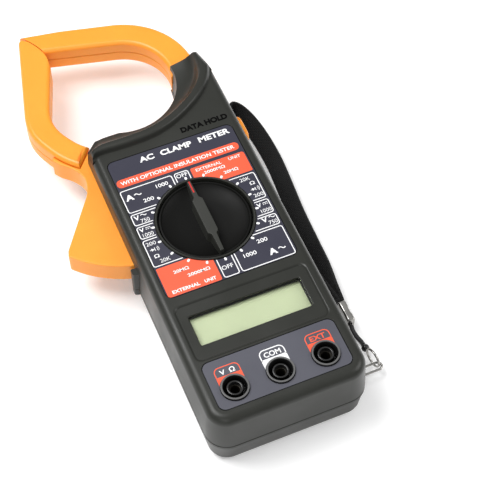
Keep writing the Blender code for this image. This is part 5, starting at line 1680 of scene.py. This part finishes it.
@dataclass
class Studio:
    """Floor, lights and camera."""

    floor: float = -0.3
    target: tuple[float, float, float] = (10.0, 16.7, 30.0)
    camera: tuple[float, float, float] = (-117.5, -292.9, 527.9)
    roll: float = -0.455
    lens: float = 108.96

    def add_camera(self) -> None:
        """Make the scene's camera."""
        data = bpy.data.cameras.new("meter_camera")
        data.sensor_width = 36.0
        data.lens = self.lens
        data.clip_start = 0.01
        item = bpy.data.objects.new("meter_camera", data)
        place, goal = Vector(self.camera) * MM, Vector(self.target) * MM
        look = (goal - place).to_track_quat("-Z", "Y").to_matrix().to_4x4()
        item.matrix_world = (Matrix.Translation(place) @ look
                             @ Matrix.Rotation(math.radians(self.roll), 4, "Z"))
        bpy.context.scene.camera = link(item)

    def _light(self, name: str, place: Point, size: Point, power: float) -> None:
        """Add a soft rectangular light that points at the meter."""
        data = bpy.data.lights.new(name, "AREA")
        data.shape = "RECTANGLE"
        data.size, data.size_y = size
        data.energy = power
        item = bpy.data.objects.new(name, data)
        spot = Vector(place)
        goal = Vector((0, 0.04, 0.02))
        item.matrix_world = (Matrix.Translation(spot)
                             @ (goal - spot).to_track_quat("-Z", "Y").to_matrix().to_4x4())
        link(item)

    def build(self, shop: Workshop) -> None:
        """Make the floor, the lights and the pale surroundings."""
        mesh = bpy.data.meshes.new("studio_floor")
        side, z = 4.0, self.floor * MM
        mesh.from_pydata([(-side, -side, z), (side, -side, z), (side, side, z),
                          (-side, side, z)], [], [(0, 1, 2, 3)])
        mesh.materials.append(shop.material(FLOOR_WHITE))
        link(bpy.data.objects.new("studio_floor", mesh))
        self._light("key_light", (-0.45, 0.35, 1.1), (0.7, 0.7), 13.5)
        self._light("fill_light", (0.9, -0.3, 0.8), (0.6, 0.6), 4.5)
        self._light("front_light", (-0.5, -0.9, 0.7), (0.5, 0.5), 2.0)
        world = bpy.data.worlds.new("studio_world")
        world.use_nodes = True
        tree = world.node_tree
        place = tree.nodes.new("ShaderNodeTexCoord")
        split = add_node(tree, "ShaderNodeSeparateXYZ", {0: place.outputs["Generated"]})
        ramp = add_node(tree, "ShaderNodeValToRGB", {"Fac": split.outputs[2]})
        ramp.color_ramp.elements[0].color = (0.30, 0.30, 0.30, 1.0)
        ramp.color_ramp.elements[1].color = (0.55, 0.55, 0.55, 1.0)
        tree.links.new(ramp.outputs["Color"], tree.nodes["Background"].inputs["Color"])
        bpy.context.scene.world = world
        bpy.context.scene.view_settings.view_transform = "Standard"


def main() -> None:
    logging.basicConfig(stream=sys.stdout, level=logging.INFO, format="%(message)s")
    for item in list(bpy.data.objects):
        bpy.data.objects.remove(item)
    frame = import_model()
    nodes = frame["nodes"]
    shop, repeat = Workshop(), Repeater()
    WristStrap().build(shop)
    studio = Studio()
    studio.add_camera()
    Case().build(shop, repeat)
    Overlays().build(shop, repeat, nodes)
    Display().build(shop, nodes)
    Sockets().build(shop, nodes)
    RangeDial().build(shop)
    Jaws().build(shop, nodes)
    HoldKey().build(shop, nodes)
    Inside.build(shop, nodes)
    studio.build(shop)


if __name__ == "__main__":
    main()
